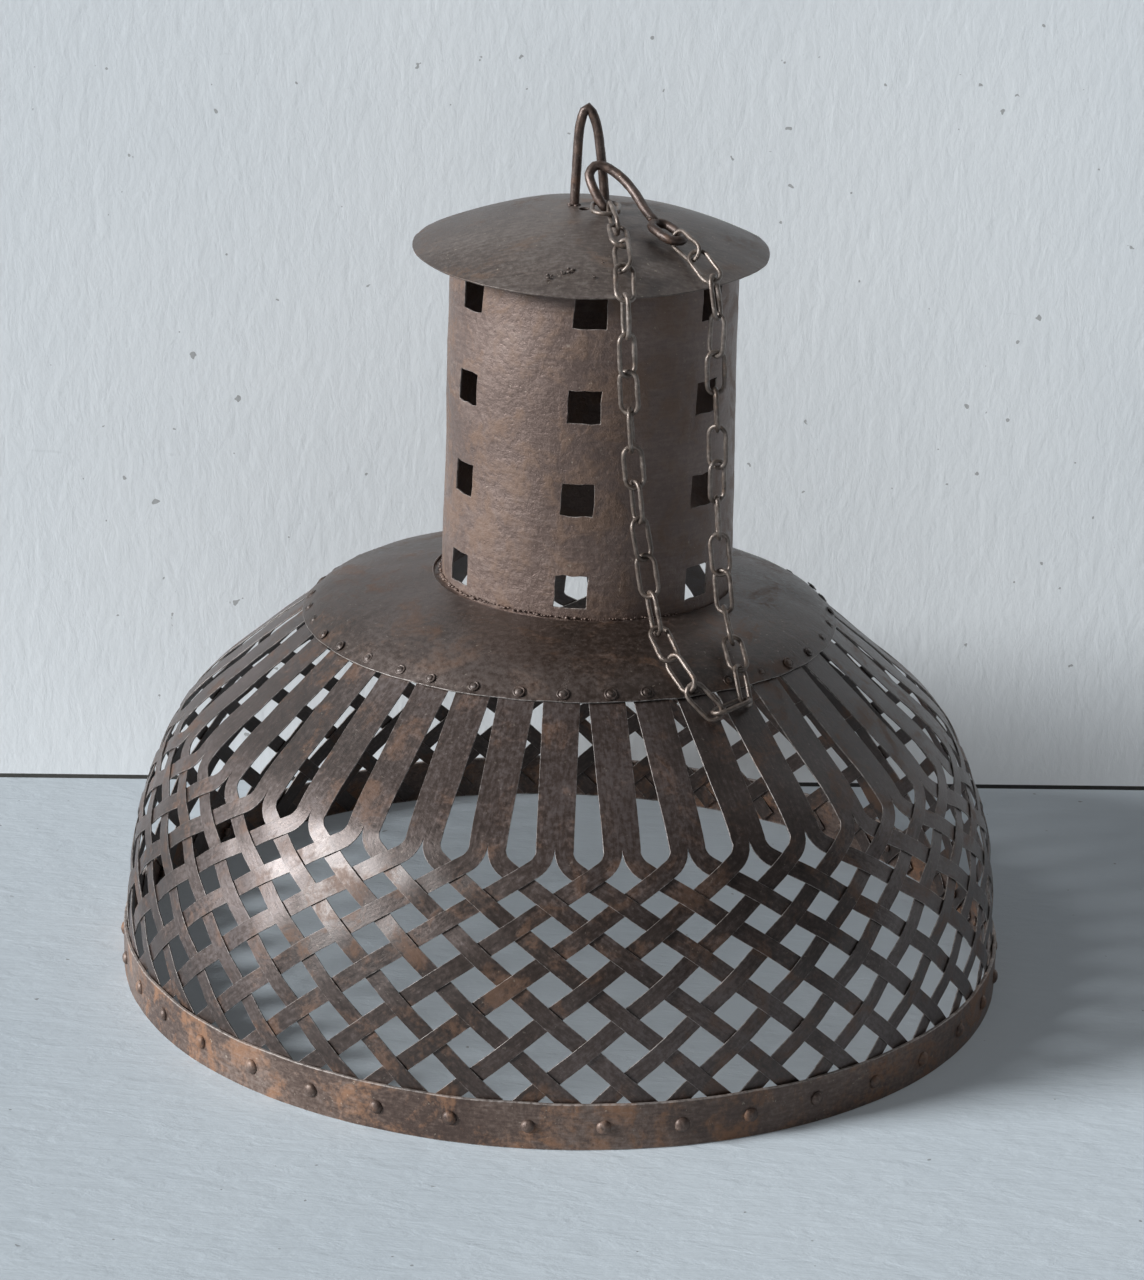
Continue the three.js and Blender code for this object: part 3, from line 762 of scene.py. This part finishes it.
cap = {
    "radius": 120,
    "rise": 28.4,
    "edgeHeight": 515.4,
    "thickness": 1.2,
    "bevel": 0.3,
    "tilt": 2.3,  # degrees, down to the front
    "centre": 7.3,
    "holeRadius": 3.6,
    "holeAt": (2, -10),
    "droop": 2.4,
    "rimFrom": 0.72,  # share of the radius
    "rimWaves": (1.1, 0.4),
    "dent": 0.9,
    "raggedEdge": 0.5,
    "segments": 180,
    "rings": [3, 7, 12, 18, 26, 35, 45, 56, 67, 78, 88, 97, 104, 110, 114.5, 117.5, 119.3, 120],
}
capTilt = Matrix.Rotation(math.radians(cap["tilt"]), 4, "X")
capPlace = Matrix.Translation((cap["centre"], 0, cap["edgeHeight"])) @ capTilt


def capPoint(radius, angle):
    out = outward(angle)
    share = radius / cap["radius"]
    rim = smooth(share, cap["rimFrom"], 1)
    long, short = cap["rimWaves"]
    front = max(math.cos(angle + 0.1), 0) ** 3
    wave = long * noise.noise(out * 2.3 + Vector((4, 0, 0))) + short * noise.noise(out * 7)
    dent = cap["dent"] * noise.noise(out * radius * 0.017 + Vector((0, 7, 0)))
    height = cap["rise"] * (1 - share * share) + rim * (wave - cap["droop"] * front) + (1 - rim) * dent
    ragged = cap["raggedEdge"] * noise.noise(out * 12) * smooth(share, 0.95, 1)
    return capPlace @ (out * (radius + ragged) + Vector((0, 0, height)))


def capHeight(x, y):
    local = capPlace.inverted() @ Vector((x, y, cap["edgeHeight"]))
    share = math.hypot(local.x, local.y) / cap["radius"]
    return (capPlace @ Vector((local.x, local.y, cap["rise"] * (1 - share * share)))).z


# Takes the shape of the cutter out of the piece for good
def cutAway(piece, cutter):
    modifier = piece.modifiers.new("cut", "BOOLEAN")
    modifier.object = cutter
    modifier.solver = "EXACT"
    bpy.context.view_layer.update()
    shaped = piece.evaluated_get(bpy.context.evaluated_depsgraph_get())
    mesh = bpy.data.meshes.new_from_object(shaped)
    piece.modifiers.clear()
    piece.data = mesh
    bpy.data.objects.remove(cutter)


def drumCutter(place, radius, depth, sides=24):
    gather = Gather()

    def pointAt(height, angle):
        return Vector(place) + outward(angle) * radius + Vector((0, 0, height)), (0, 0)

    gather.solid(gather.rings((depth, -depth), sides, pointAt))
    return gather.shape("cutter")


def addCap():
    gather = Gather()

    def pointAt(radius, angle):
        edge = 0.9 if radius == cap["radius"] else 0.0
        out = outward(angle) * radius
        return capPoint(radius, angle), (out.x, out.y), edge

    rows = gather.rings(cap["rings"], cap["segments"], pointAt)
    gather.skin(rows, True)
    gather.fan(gather.point(capPoint(0, 0), (0, 0)), rows[0])
    sheet = sheetOf(cap["thickness"], -1, cap["bevel"])
    piece = gather.piece("cap_dish", "cap_iron", "shade", ["cap"], sheet)
    x, y = cap["holeAt"]
    cutAway(piece, drumCutter((x, y, capHeight(x, y)), cap["holeRadius"], 12))


# A rough drop of metal, round or flat
def addBlob(gather, place, size, flat, seed, edge=0.3, levels=7, sides=14):
    centre = Vector(place)

    def pointAt(level, turn):
        polar = math.pi * level / levels
        out = Vector((math.sin(polar) * math.cos(turn), math.sin(polar) * math.sin(turn), math.cos(polar)))
        rough = 1 + 0.35 * noise.noise(out * 1.6 + Vector((seed, 0, 0)))
        reach = Vector((out.x * size, out.y * size, out.z * flat)) * rough
        return centre + reach, (turn * size, level), edge

    rows = gather.rings(range(1, levels), sides, pointAt)
    gather.skin(rows, True)
    gather.fan(gather.point(centre + Vector((0, 0, flat)), (0, 0), edge), rows[0])
    gather.fan(gather.point(centre - Vector((0, 0, flat)), (0, levels), edge), list(reversed(rows[-1])))


# Specks of weld where the cap is tacked down, each of a few drops
welds = {
    "specks": [(-19.4, -102.1, 2.4), (-6.1, -97.2, 2.8), (-10.5, -99.6, 1.5), (15.1, -88.3, 1.4),
               (9, -104, 1.1)],  # place and size
    "drops": 3,
    "dropSizes": (0.35, 0.12),  # the first one's share of the speck, and what each next one has more
    "reach": 0.7,
    "rise": 0.2,
    "height": 0.7,
    "edge": 0.8,
}


def addWelds():
    gather = Gather()
    reach = welds["reach"]
    least, more = welds["dropSizes"]
    for i, (x, y, size) in enumerate(welds["specks"]):
        for drop in range(welds["drops"]):
            angle = i * 2.1 + drop * 2.2
            spot = (x + math.cos(angle) * size * reach, y + math.sin(angle) * size * reach)
            place = (*spot, capHeight(*spot) + welds["rise"])
            dropSize = size * (least + more * drop)
            addBlob(gather, place, dropSize, welds["height"], i * 10 + drop, welds["edge"])
    gather.piece("cap_welds", "cap_iron", "shade")


addCap()
addWelds()
print("cap dished")


# Chimney

chimney = {
    "radius": 100,
    "taper": 2.6,
    "thickness": 1.2,
    "bevel": 0.25,
    "centre": 10.4,
    "low": 279,
    "topMargin": 16,
    "capGap": 0.2,
    "droopShare": 0.35,  # of the cap's droop, at the top's front
    "ventSize": 22,
    "ventRows": 4,
    "ventPitch": 63.3,
    "ventColumns": 6,
    "ventColumnsLeft": 2,
    "ventStep": 54,
    "ventSkew": -1.5,
    "ventFirst": 303.5,
    "ventFront": -1.2,
    "ventRagged": 1.1,
    "cellWidth": 3.1,  # degrees
    "cellHeight": 7,
    "dents": [(1.5, 1), (0.55, 2.9), (0.15, 8)],  # depth and scale
    "dentRound": 1.4,
    "dentUp": 0.013,
    "footWidth": 12,
    "footGap": 0.3,
    "footSag": 1.2,
    "footSegments": 120,
}


# Grid lines over a span, with the vents' own edges among them. Each entry is a line and whether a vent
# follows it.
def gridLines(start, end, middles, half, step):
    marks = [start]
    for middle in middles:
        marks += [middle - half, middle + half]
    marks.append(end)
    lines = []
    for i, (low, high) in enumerate(zip(marks, marks[1:])):
        count = max(round((high - low) / step), 1)
        lines += [(low + (high - low) * j / count, i % 2 == 1) for j in range(count)]
    return lines + [(end, False)]


def chimneyDent(angle, height):
    dentRound = chimney["dentRound"]
    spot = Vector((math.sin(angle) * dentRound, math.cos(angle) * dentRound, height * chimney["dentUp"]))
    return dented(spot, chimney["dents"])


def addChimney():
    gather = Gather()
    half = math.degrees(math.asin(chimney["ventSize"] / 2 / chimney["radius"]))
    middles = [(i - chimney["ventColumnsLeft"]) * chimney["ventStep"] for i in range(chimney["ventColumns"])]
    columns = gridLines(-180, 180, middles, half, chimney["cellWidth"])
    ventHeights = [chimney["ventFirst"] + i * chimney["ventPitch"] for i in range(chimney["ventRows"])]
    lastVentTop = ventHeights[-1] + chimney["ventSize"] / 2
    top = lastVentTop + chimney["topMargin"]
    lines = gridLines(chimney["low"], top, ventHeights, chimney["ventSize"] / 2, chimney["cellHeight"])
    grid = []
    for height, _ in lines:
        row = []
        for degrees, _ in columns[:-1]:
            fromTop = (ventHeights[-1] - height) / chimney["ventPitch"]
            angle = math.radians(degrees + chimney["ventFront"] + chimney["ventSkew"] * fromTop)
            share = (height - chimney["low"]) / (top - chimney["low"])
            radius = chimney["radius"] - chimney["taper"] * share + chimneyDent(angle, height)
            place = outward(angle) * radius + Vector((chimney["centre"], 0, height))
            if height > lastVentTop:
                ceiling = capHeight(place.x, place.y) - cap["thickness"] - chimney["capGap"]
                ceiling -= cap["droop"] * chimney["droopShare"] * max(math.cos(angle), 0) ** 3
                rise = (height - lastVentTop) / (top - lastVentTop)
                place.z = lastVentTop + (ceiling - lastVentTop) * rise
            row.append((place, angle, height))
        grid.append(row)
    width = len(columns) - 1

    def isOpen(r, c):
        return 0 <= r < len(lines) - 1 and lines[r][1] and columns[c % width][1]

    indices = []
    for r, row in enumerate(grid):
        line = []
        for c, (place, angle, height) in enumerate(row):
            around = [isOpen(r + a, c + b) for a in (-1, 0) for b in (-1, 0)]
            onVent = any(around) and not all(around)
            edge = 1.0 if onVent or r in (0, len(grid) - 1) else 0.0
            if onVent:
                rag = Vector((height * 0.31, angle * 40, 2))
                tangent = Vector((math.cos(angle), math.sin(angle), 0))
                place = place + tangent * (chimney["ventRagged"] * noise.noise(rag))
                place = place + Vector((0, 0, chimney["ventRagged"] * noise.noise(rag * 1.7)))
            line.append(gather.point(place, (angle * chimney["radius"], height), edge))
        indices.append(line)
    for r in range(len(grid) - 1):
        for c in range(width):
            if not isOpen(r, c):
                d = (c + 1) % width
                gather.face(indices[r][c], indices[r][d], indices[r + 1][d], indices[r + 1][c])
    sheet = sheetOf(chimney["thickness"], -1, chimney["bevel"])
    gather.piece("chimney_tube", "chimney_iron", "shade", ["chimney"], sheet)


# The chimney's foot is turned out under the crown
def addFoot():
    gather = Gather()
    inner = chimney["radius"] - chimney["thickness"]
    outer = chimney["radius"] + chimney["footWidth"]

    def pointAt(share, angle):
        place = outward(angle) * (inner + (outer - inner) * share) + Vector((chimney["centre"], 0, 0))
        ceiling = crownHeight(math.hypot(place.x, place.y)) - crown["thickness"] - chimney["footGap"]
        place.z = ceiling - chimney["footSag"] * (1 - share) ** 2
        return place, (angle * 100, share * 10), 1.0 if share == 1 else 0.0

    gather.skin(gather.rings((0, 0.25, 0.5, 0.75, 1), chimney["footSegments"], pointAt), True)
    sheet = sheetOf(chimney["thickness"], -1, chimney["bevel"])
    gather.piece("chimney_foot", "chimney_iron", "shade", (), sheet)


# Crust along the joint at the chimney's foot
crust = {
    "seed": 23,
    "count": 96,
    "start": -100,  # degrees
    "step": 1.45,
    "stray": 0.8,
    "out": (0.2, 1.6),
    "rise": (-0.2, 0.6),
    "sizes": (0.5, 1.5),
    "full": 70,  # how many come before the smaller ones
    "smaller": 0.6,
    "flatness": 0.7,
}


def addCrust():
    gather = Gather()
    rng = random.Random(crust["seed"])
    stray = crust["stray"]
    for i in range(crust["count"]):
        angle = math.radians(crust["start"] + i * crust["step"] + rng.uniform(-stray, stray))
        radius = chimney["radius"] + rng.uniform(*crust["out"]) + chimneyDent(angle, chimney["low"])
        place = outward(angle) * radius + Vector((chimney["centre"], 0, 0))
        place.z = crownHeight(math.hypot(place.x, place.y)) + crownDent(place) + rng.uniform(*crust["rise"])
        size = rng.uniform(*crust["sizes"]) * (1 if i < crust["full"] else crust["smaller"])
        addBlob(gather, place, size, size * crust["flatness"], 200 + i)
    gather.piece("chimney_crust", "chimney_iron", "shade")


addChimney()
addFoot()
addCrust()
print("chimney rolled")


# Rods and chain

# A round rod along places in millimetres. Its thickness follows the radii, and its open ends are rounded.
def addRod(gather, places, radii, sides, roughness, closed=False, seed=0):
    count = len(places)
    rows = []
    side = None
    travelled = 0
    for i, place in enumerate(places):
        before = places[i - 1] if closed or i > 0 else place
        after = places[(i + 1) % count] if closed or i + 1 < count else place
        along = (after - before).normalized()
        if side is None:
            side = along.orthogonal().normalized()
        side = (side - along * side.dot(along)).normalized()
        other = along.cross(side)
        row = []
        for turn in turns(sides):
            out = side * math.cos(turn) + other * math.sin(turn)
            rough = 1 + roughness * noise.noise(place * 0.35 + out * 1.3 + Vector((seed, 0, 0)))
            row.append(gather.point(place + out * (radii[i] * rough), (travelled, turn * radii[i])))
        rows.append(list(reversed(row)))
        travelled += (after - place).length
    if closed:
        gather.skin([*rows, rows[0]], True)
    else:
        gather.solid(rows)


# Even places along a smooth route, with the last millimetres drawn in to round ends
def rodPlaces(route, step, radius, roundEnd=True):
    line = Line([Vector(point) for point in route], 60)
    count = max(round(line.length / step), 4)
    cuts = [0, 0.12, 0.35, 0.7]
    even = [line.length * i / count for i in range(count + 1)]
    distances = [cut * radius for cut in cuts] + [d for d in even if d > radius]
    if roundEnd:
        ends = [line.length - cut * radius for cut in reversed(cuts)]
        distances = [d for d in distances if d < line.length - radius] + ends
    places = [line.at(distance)[0] for distance in distances]
    radii = []
    for distance in distances:
        nearest = min(radius, distance)
        if roundEnd:
            nearest = min(nearest, line.length - distance)
        radii.append(radius * math.sqrt(max(1 - (1 - nearest / radius) ** 2, 0.12)))
    return places, radii


rod = {
    "radius": 3.25,
    "sides": 16,
    "roughness": 0.05,
}
staple = {
    "route": [(-5.1, 0, 532), (-4, 0, 566), (-2.6, 0, 596), (2.2, 0, 609.2), (8.4, 0, 598), (11.6, 0, 580),
              (14.4, 0, 558), (16.9, 0, 532)],
    "step": 4,
    "feet": (-5, 16.7),
    "drops": 5,
    "dropReach": 3,
    "dropRise": 0.1,
    "dropSize": 1.7,
    "dropHeight": 1.1,
}


def addStaple():
    gather = Gather()
    places, radii = rodPlaces(staple["route"], staple["step"], rod["radius"])
    addRod(gather, places, radii, rod["sides"], rod["roughness"])
    gather.piece("staple_rod", "rod_iron", "shade", ["staple"])
    feet = Gather()
    for i, x in enumerate(staple["feet"]):
        for drop in range(staple["drops"]):
            angle = drop * 1.3 + i
            spot = (x + math.cos(angle) * staple["dropReach"], math.sin(angle) * staple["dropReach"])
            place = (*spot, capHeight(*spot) + staple["dropRise"])
            addBlob(feet, place, staple["dropSize"], staple["dropHeight"], 50 + i * 9 + drop)
    feet.piece("staple_welds", "rod_iron", "shade")


# Places round a long ring that lies across two directions, its long way along the second
def ringPlaces(centre, wide, long, halfWidth, halfLength, bends=9, straights=3):
    straight = halfLength - halfWidth
    places = []
    for end in (1, -1):
        for i in range(bends + 1):
            turn = math.pi * i / bends
            places.append(wide * (end * math.cos(turn) * halfWidth)
                          + long * (end * (math.sin(turn) * halfWidth + straight)))
        for i in range(1, straights):
            share = 1 - 2 * i / straights
            places.append(wide * (-end * halfWidth) + long * (end * straight * share))
    return [centre + place for place in places]


hook = {
    "route": [(16.6, -23.5, 545), (10.1, -19.5, 553.7), (5.2, -13, 563.1), (5, -9.8, 567.8),
              (9.5, -7.2, 572.1), (16.9, -8.6, 570.6), (26.3, -14, 565.2), (34.5, -22, 557.7),
              (41.9, -33.4, 549)],
    "step": 3.5,
    "eyeCentre": (57, -53.8, 538.4),
    "eyeDirection": (0.62, -0.73, -0.29),
    "eyeLength": 12.6,
    "eyeWidth": 7.2,
    "eyeWire": 0.98,  # share of the rod's radius
    "weldBack": 3,
    "weldShift": (-1, 0, 1.2),
    "weldSize": (2.6, 2.1),
}


def addHook():
    gather = Gather()
    centre = Vector(hook["eyeCentre"])
    along = Vector(hook["eyeDirection"]).normalized()
    flat = along.cross(Vector((0, 0, 1))).normalized()
    near = centre - along * hook["eyeLength"]
    places, radii = rodPlaces([*hook["route"], near], hook["step"], rod["radius"], False)
    addRod(gather, places, radii, rod["sides"], rod["roughness"])
    eye = ringPlaces(centre, flat, along, hook["eyeWidth"], hook["eyeLength"])
    addRod(gather, eye, [rod["radius"] * hook["eyeWire"]] * len(eye), rod["sides"], rod["roughness"], True, 3)
    weld = near - along * hook["weldBack"] + Vector(hook["weldShift"])
    addBlob(gather, weld, *hook["weldSize"], 31)
    gather.piece("hook_rod", "rod_iron", "hook", ["hook"])


addStaple()
addHook()
print("staple and hook bent")

chain = {
    "wire": 3.15,
    "sides": 10,
    "roughness": 0.06,
    "innerLength": 24.6,
    "innerWidth": 9,
    "bite": 0.4,
    "play": 1.4,
    "bends": 8,
    "straights": 6,
    "swell": 0.16,  # at the butt weld, halfway down one side
    "swellReach": 1.5,
    "bottomBearings": [(99.3, -173.9, 250.2), (114.3, -163, 253.2)],
    "bottomTwist": 78,
}
# The way that each side hangs, each link's twist in degrees, and each run's node, body and number of links
chainSides = {
    "left": {
        "route": [
            (18.4, -41.9, 550.4), (24, -65, 542.4), (26.3, -87, 536.5), (28.9, -109, 524.6),
            (30.1, -126.5, 505.7), (31.5, -125.6, 482.2), (33.3, -125, 457.5), (35.3, -125, 434),
            (37.4, -125.2, 410), (40.5, -125.5, 385.3), (43.6, -126, 360.4), (48.4, -127.5, 336.8),
            (52.8, -130.5, 312.7), (57.5, -137, 292), (66.8, -156, 279), (79.1, -172, 266),
            (98.4, -176, 247)],
        "twists": [88, 0, 54, -4, 82, -28, 34, -72, 2, 76, -22, 30, 82, 0, 44, -2],
        "runs": [
            ("link_1", "shade", 1), ("link_2", "shade", 1), ("link_3", "shade", 1), ("link_4", "shade", 1),
            ("upper_run", "hanging_upper", 5), ("lower_run", "hanging_lower", 4),
            ("tail", "hanging_tail", 3)],
    },
    "right": {
        "route": [
            (62, -59.6, 536.9), (75.4, -79.3, 529.4), (89.8, -98.4, 512), (90.3, -98.3, 488.7),
            (90, -98, 463.4), (91.4, -98, 439.6), (93.3, -98, 417.1), (94.3, -98, 392), (95.1, -98, 366.6),
            (97.4, -98.5, 342.4), (100.3, -100, 318.3), (103.2, -105, 296), (106.5, -120, 284.5),
            (112, -142.5, 270), (117.5, -161, 248.5)],
        "twists": [88, 35, -31, 85, 20, -52, 65, 2, 128, 30, 75, -26, 38, -16],
        "runs": [
            ("link_1", "right_link_1", 1), ("link_2", "right_link_2", 1), ("upper_run", "hanging_upper", 5),
            ("lower_run", "hanging_lower", 5), ("tail", "hanging_tail", 2)],
    },
}
endRing = {
    "centre": (16.1, -29.2, 548.1),
    "tilt": 2.7,
    "length": 27.5,
    "width": 14.6,
    "wire": 3,
    "sides": 12,
}


# Close places along a route whose bends stay near its points however unevenly these are spaced
def routePlaces(route, steps=260):
    points = [Vector(point) for point in route]
    points = [points[0] * 2 - points[1], *points, points[-1] * 2 - points[-2]]
    places = []
    for a, b, c, d in zip(points, points[1:], points[2:], points[3:]):
        first, middle, last = [math.sqrt((q - p).length) for p, q in ((a, b), (b, c), (c, d))]
        leave = ((b - a) / first - (c - a) / (first + middle) + (c - b) / middle) * middle
        reach = ((c - b) / middle - (d - b) / (middle + last) + (d - c) / last) * middle
        for i in range(steps):
            t = i / steps
            cubic = (b - c) * 2 + leave + reach
            square = (c - b) * 3 - leave * 2 - reach
            places.append(cubic * t ** 3 + square * t ** 2 + leave * t + b)
    return [*places, points[-2]]


# Where each link bears, from one end of a route to the other, with some play between two runs
def strung(route, counts):
    samples = routePlaces(route)
    pitch = chain["innerLength"] + chain["bite"]
    links = []
    at = samples[0]
    i = 0
    for count in counts:
        for k in range(count):
            start = at
            if k == 0 and links:
                start = at + (links[-1][0] - at).normalized() * (chain["bite"] + chain["play"])
            while i < len(samples) and (samples[i] - start).length < pitch:
                i += 1
            if i < len(samples):
                at = samples[i]
            else:
                at = start + (start - links[-1][0]).normalized() * pitch
            links.append((start, at))
    return links


def addLink(name, start, end, twist, node, body, seed):
    gather = Gather()
    along = (end - start).normalized()
    centre = (start + end) / 2
    facing = Vector((centre.x - chimney["centre"], centre.y, 0)).normalized()
    broad = along.cross(facing).normalized()
    broad = Matrix.Rotation(math.radians(twist), 3, along) @ broad
    wire = chain["wire"] / 2
    halfWidth = chain["innerWidth"] / 2 + wire
    halfLength = (chain["innerLength"] + chain["bite"]) / 2 + wire
    places = ringPlaces(centre, broad, along, halfWidth, halfLength, chain["bends"], chain["straights"])
    weld = chain["bends"] + chain["straights"] // 2
    radii = [wire * (1 + chain["swell"] * max(1 - abs(i - weld) / chain["swellReach"], 0))
             for i in range(len(places))]
    addRod(gather, places, radii, chain["sides"], chain["roughness"], True, seed)
    gather.piece(name, "chain_steel", body, [node])


def addChainSide(sideName, side):
    links = strung(side["route"], [count for _, _, count in side["runs"]])
    first = 0
    for run, body, count in side["runs"]:
        for i in range(first, first + count):
            name = f"{sideName}_link_{i + 1:02d}"
            addLink(name, *links[i], side["twists"][i], f"chain_{sideName}_{run}", body, first + i * 3.1)
        first += count


def addEndRing():
    gather = Gather()
    tilt = math.radians(endRing["tilt"])
    wide = Vector((1, 0, 0))
    long = Vector((0, math.cos(tilt), math.sin(tilt)))
    wire = endRing["wire"] / 2
    halfWidth = endRing["width"] / 2 + wire
    halfLength = endRing["length"] / 2 + wire
    places = ringPlaces(Vector(endRing["centre"]), wide, long, halfWidth, halfLength)
    addRod(gather, places, [wire] * len(places), endRing["sides"], chain["roughness"], True, 71)
    gather.piece("end_ring_wire", "chain_steel", "end_ring", ["chain_end_ring"])


addEndRing()
for sideName, side in chainSides.items():
    addChainSide(sideName, side)
bottom = [Vector(point) for point in chain["bottomBearings"]]
addLink("bottom_link", *bottom, chain["bottomTwist"], "chain_bottom_link", "hanging_tail", 55)
print("chain linked")


# Floor, wall, lamps and world

studio = {
    "floorSize": 40,
    "floorDrop": 0.0002,
    "wallAt": [(-0.4531, 0.3088), (0.4719, 0.3555)],  # two points of the wall's foot, x and y
    "wallReach": 20,
    "worldColour": (0.8, 0.86, 0.93, 1),
    "worldStrength": 0.11,
    "skyColour": "#d4dadd",
}
# Each with its height and how far it stands before the wall
walls = {
    "wall": ("wall_paint", 4.5, 0),
    # wall_foot: a thin dark strip, painted shade in the corner where the wall meets the floor
    "wall_foot": ("gap_shade_paint", 0.0035, 0.0006),
}
paints = {
    "floor_paint": {
        "colours": ["#c3cbd1", "#ccd3d8", "#b4bbc0", "#6d6a66"], "glow": 0.08, "stretch": (1, 2.5, 1),
        "scale": 30, "depth": 0.0013, "roughness": 0.85, "seeThroughBack": False},
    "wall_paint": {
        "colours": ["#dfe2e4", "#e7e9ea", "#c9cccd", "#777470"], "glow": 0.12, "stretch": (2.2, 2.2, 0.9),
        "scale": 44, "depth": 0.0005, "roughness": 0.85, "seeThroughBack": True},
    # Dark paint of the wall's foot: painted shade of the corner, with a few scuffs
    "gap_shade_paint": {
        "colours": ["#3c3b39", "#55534f", "#8d8a84", "#3a3937"], "glow": 0.0, "stretch": (1, 1, 1),
        "scale": 60, "depth": 0.001, "roughness": 0.8, "seeThroughBack": True},
}
# Each with its kind, its place, what it aims at and its settings. The key stands for a far window.
lamps = {
    "key": ("SUN", (-6.3, -2.15, 2.65), (0, 0, 0), {
        "energy": 5.4, "angle": math.radians(18), "color": (0.93, 0.97, 1.0)}),
    "back": ("AREA", (2.4, 1.7, 1.5), (0, 0, 0.25), {
        "shape": "RECTANGLE", "size": 1.2, "size_y": 1.2, "energy": 5}),
    "front": ("AREA", (-0.6, -3.6, 2.2), (0, 0, 0.25), {
        "shape": "RECTANGLE", "size": 1.6, "size_y": 1.6, "energy": 3}),
}


# Paint on plaster or boards. It takes light as a dull surface, and has some light of its own in view
# or in a reflection, so that the room looks bright with plain lamps.
def paintMaterial(name, paint):
    material = bpy.data.materials.new(name)
    shader = Shader(material)
    place = shader.node("ShaderNodeTexCoord", {}, {}, "Object")
    cloud = shader.noise(place, 1.6, 6, 0.6)
    drag = shader.noise(shader.stretched(place, paint["stretch"]), paint["scale"], 6, 0.62, 0.3)
    specks = shader.ramp(shader.noise(place, 90, 2, 0.5), 0.745, 0.76)
    scuffs = shader.ramp(shader.noise(shader.stretched(place, (1, 3, 5)), 9, 5, 0.75, 1.5), 0.68, 0.73)
    first, second, scuff, speck = [tint(code) for code in paint["colours"]]
    base = shader.mix(shader.ramp(cloud, 0.3, 0.7), first, second)
    scuffed = shader.mix(scuffs * 0.3, base, scuff)
    colour = shader.mix(specks * 0.6, scuffed, speck)
    normal = shader.bump(drag, paint["depth"])
    shader.set(Base_Color=colour, Roughness=paint["roughness"], Normal=normal, Specular_IOR_Level=0.1)
    seen = shader.path("Is Camera Ray") + shader.path("Is Glossy Ray")
    light = shader.node("ShaderNodeEmission", {}, {"Color": colour, "Strength": paint["glow"] * seen})
    surface = Field(shader, shader.surface.outputs[0])
    lit = shader.node("ShaderNodeAddShader", {}, {0: surface, 1: light})
    if paint["seeThroughBack"]:
        back = shader.node("ShaderNodeNewGeometry", {}, {}, "Backfacing")
        soft = shader.path("Is Diffuse Ray") + shader.path("Is Shadow Ray")
        clear = shader.node("ShaderNodeBsdfTransparent", {}, {})
        lit = shader.node("ShaderNodeMixShader", {}, {0: back.orMore(soft), 1: lit, 2: clear})
    shader.show(lit)
    return material


def addPlane(name, corners, paintName):
    mesh = bpy.data.meshes.new(name)
    mesh.from_pydata(corners, [], [(0, 1, 2, 3)])
    mesh.materials.append(paintMaterial(paintName, paints[paintName]))
    plane = addObject(name, mesh)
    return plane


def addRoom():
    half = studio["floorSize"] / 2
    corners = [(-half, -half, 0), (half, -half, 0), (half, half, 0), (-half, half, 0)]
    addPlane("floor", corners, "floor_paint").location.z = -studio["floorDrop"]
    (x0, y0), (x1, y1) = studio["wallAt"]
    slope = (y1 - y0) / (x1 - x0)
    reach = studio["wallReach"]
    left = (-reach, y0 + slope * (-reach - x0))
    right = (reach, y0 + slope * (reach - x0))
    for name, (paintName, height, before) in walls.items():
        corners = [(*left, 0), (*right, 0), (*right, height), (*left, height)]
        addPlane(name, corners, paintName).location.y = -before


def addLamp(name, kind, place, aim, settings):
    data = bpy.data.lights.new(name, kind)
    for key, value in settings.items():
        setattr(data, key, value)
    lamp = addObject(name, data)
    lamp.location = place
    lamp.rotation_euler = (Vector(aim) - Vector(place)).to_track_quat("-Z", "Y").to_euler()


# The world lights the metal. The camera alone sees the pale sky instead.
def setWorld():
    world = bpy.data.worlds.new("studio")
    scene.world = world
    shader = Shader(world, "Background")
    shader.set(Color=studio["worldColour"], Strength=studio["worldStrength"])
    light = Field(shader, shader.surface.outputs[0])
    sky = shader.node("ShaderNodeBackground", {}, {"Color": tint(studio["skyColour"])})
    mixed = shader.node("ShaderNodeMixShader", {}, {0: shader.path("Is Camera Ray"), 1: light, 2: sky})
    shader.show(mixed, "World Output")


addRoom()
for name, lamp in lamps.items():
    addLamp(name, *lamp)
setWorld()
scene.view_settings.view_transform = "Standard"
print("studio lit")

bpy.context.view_layer.update()
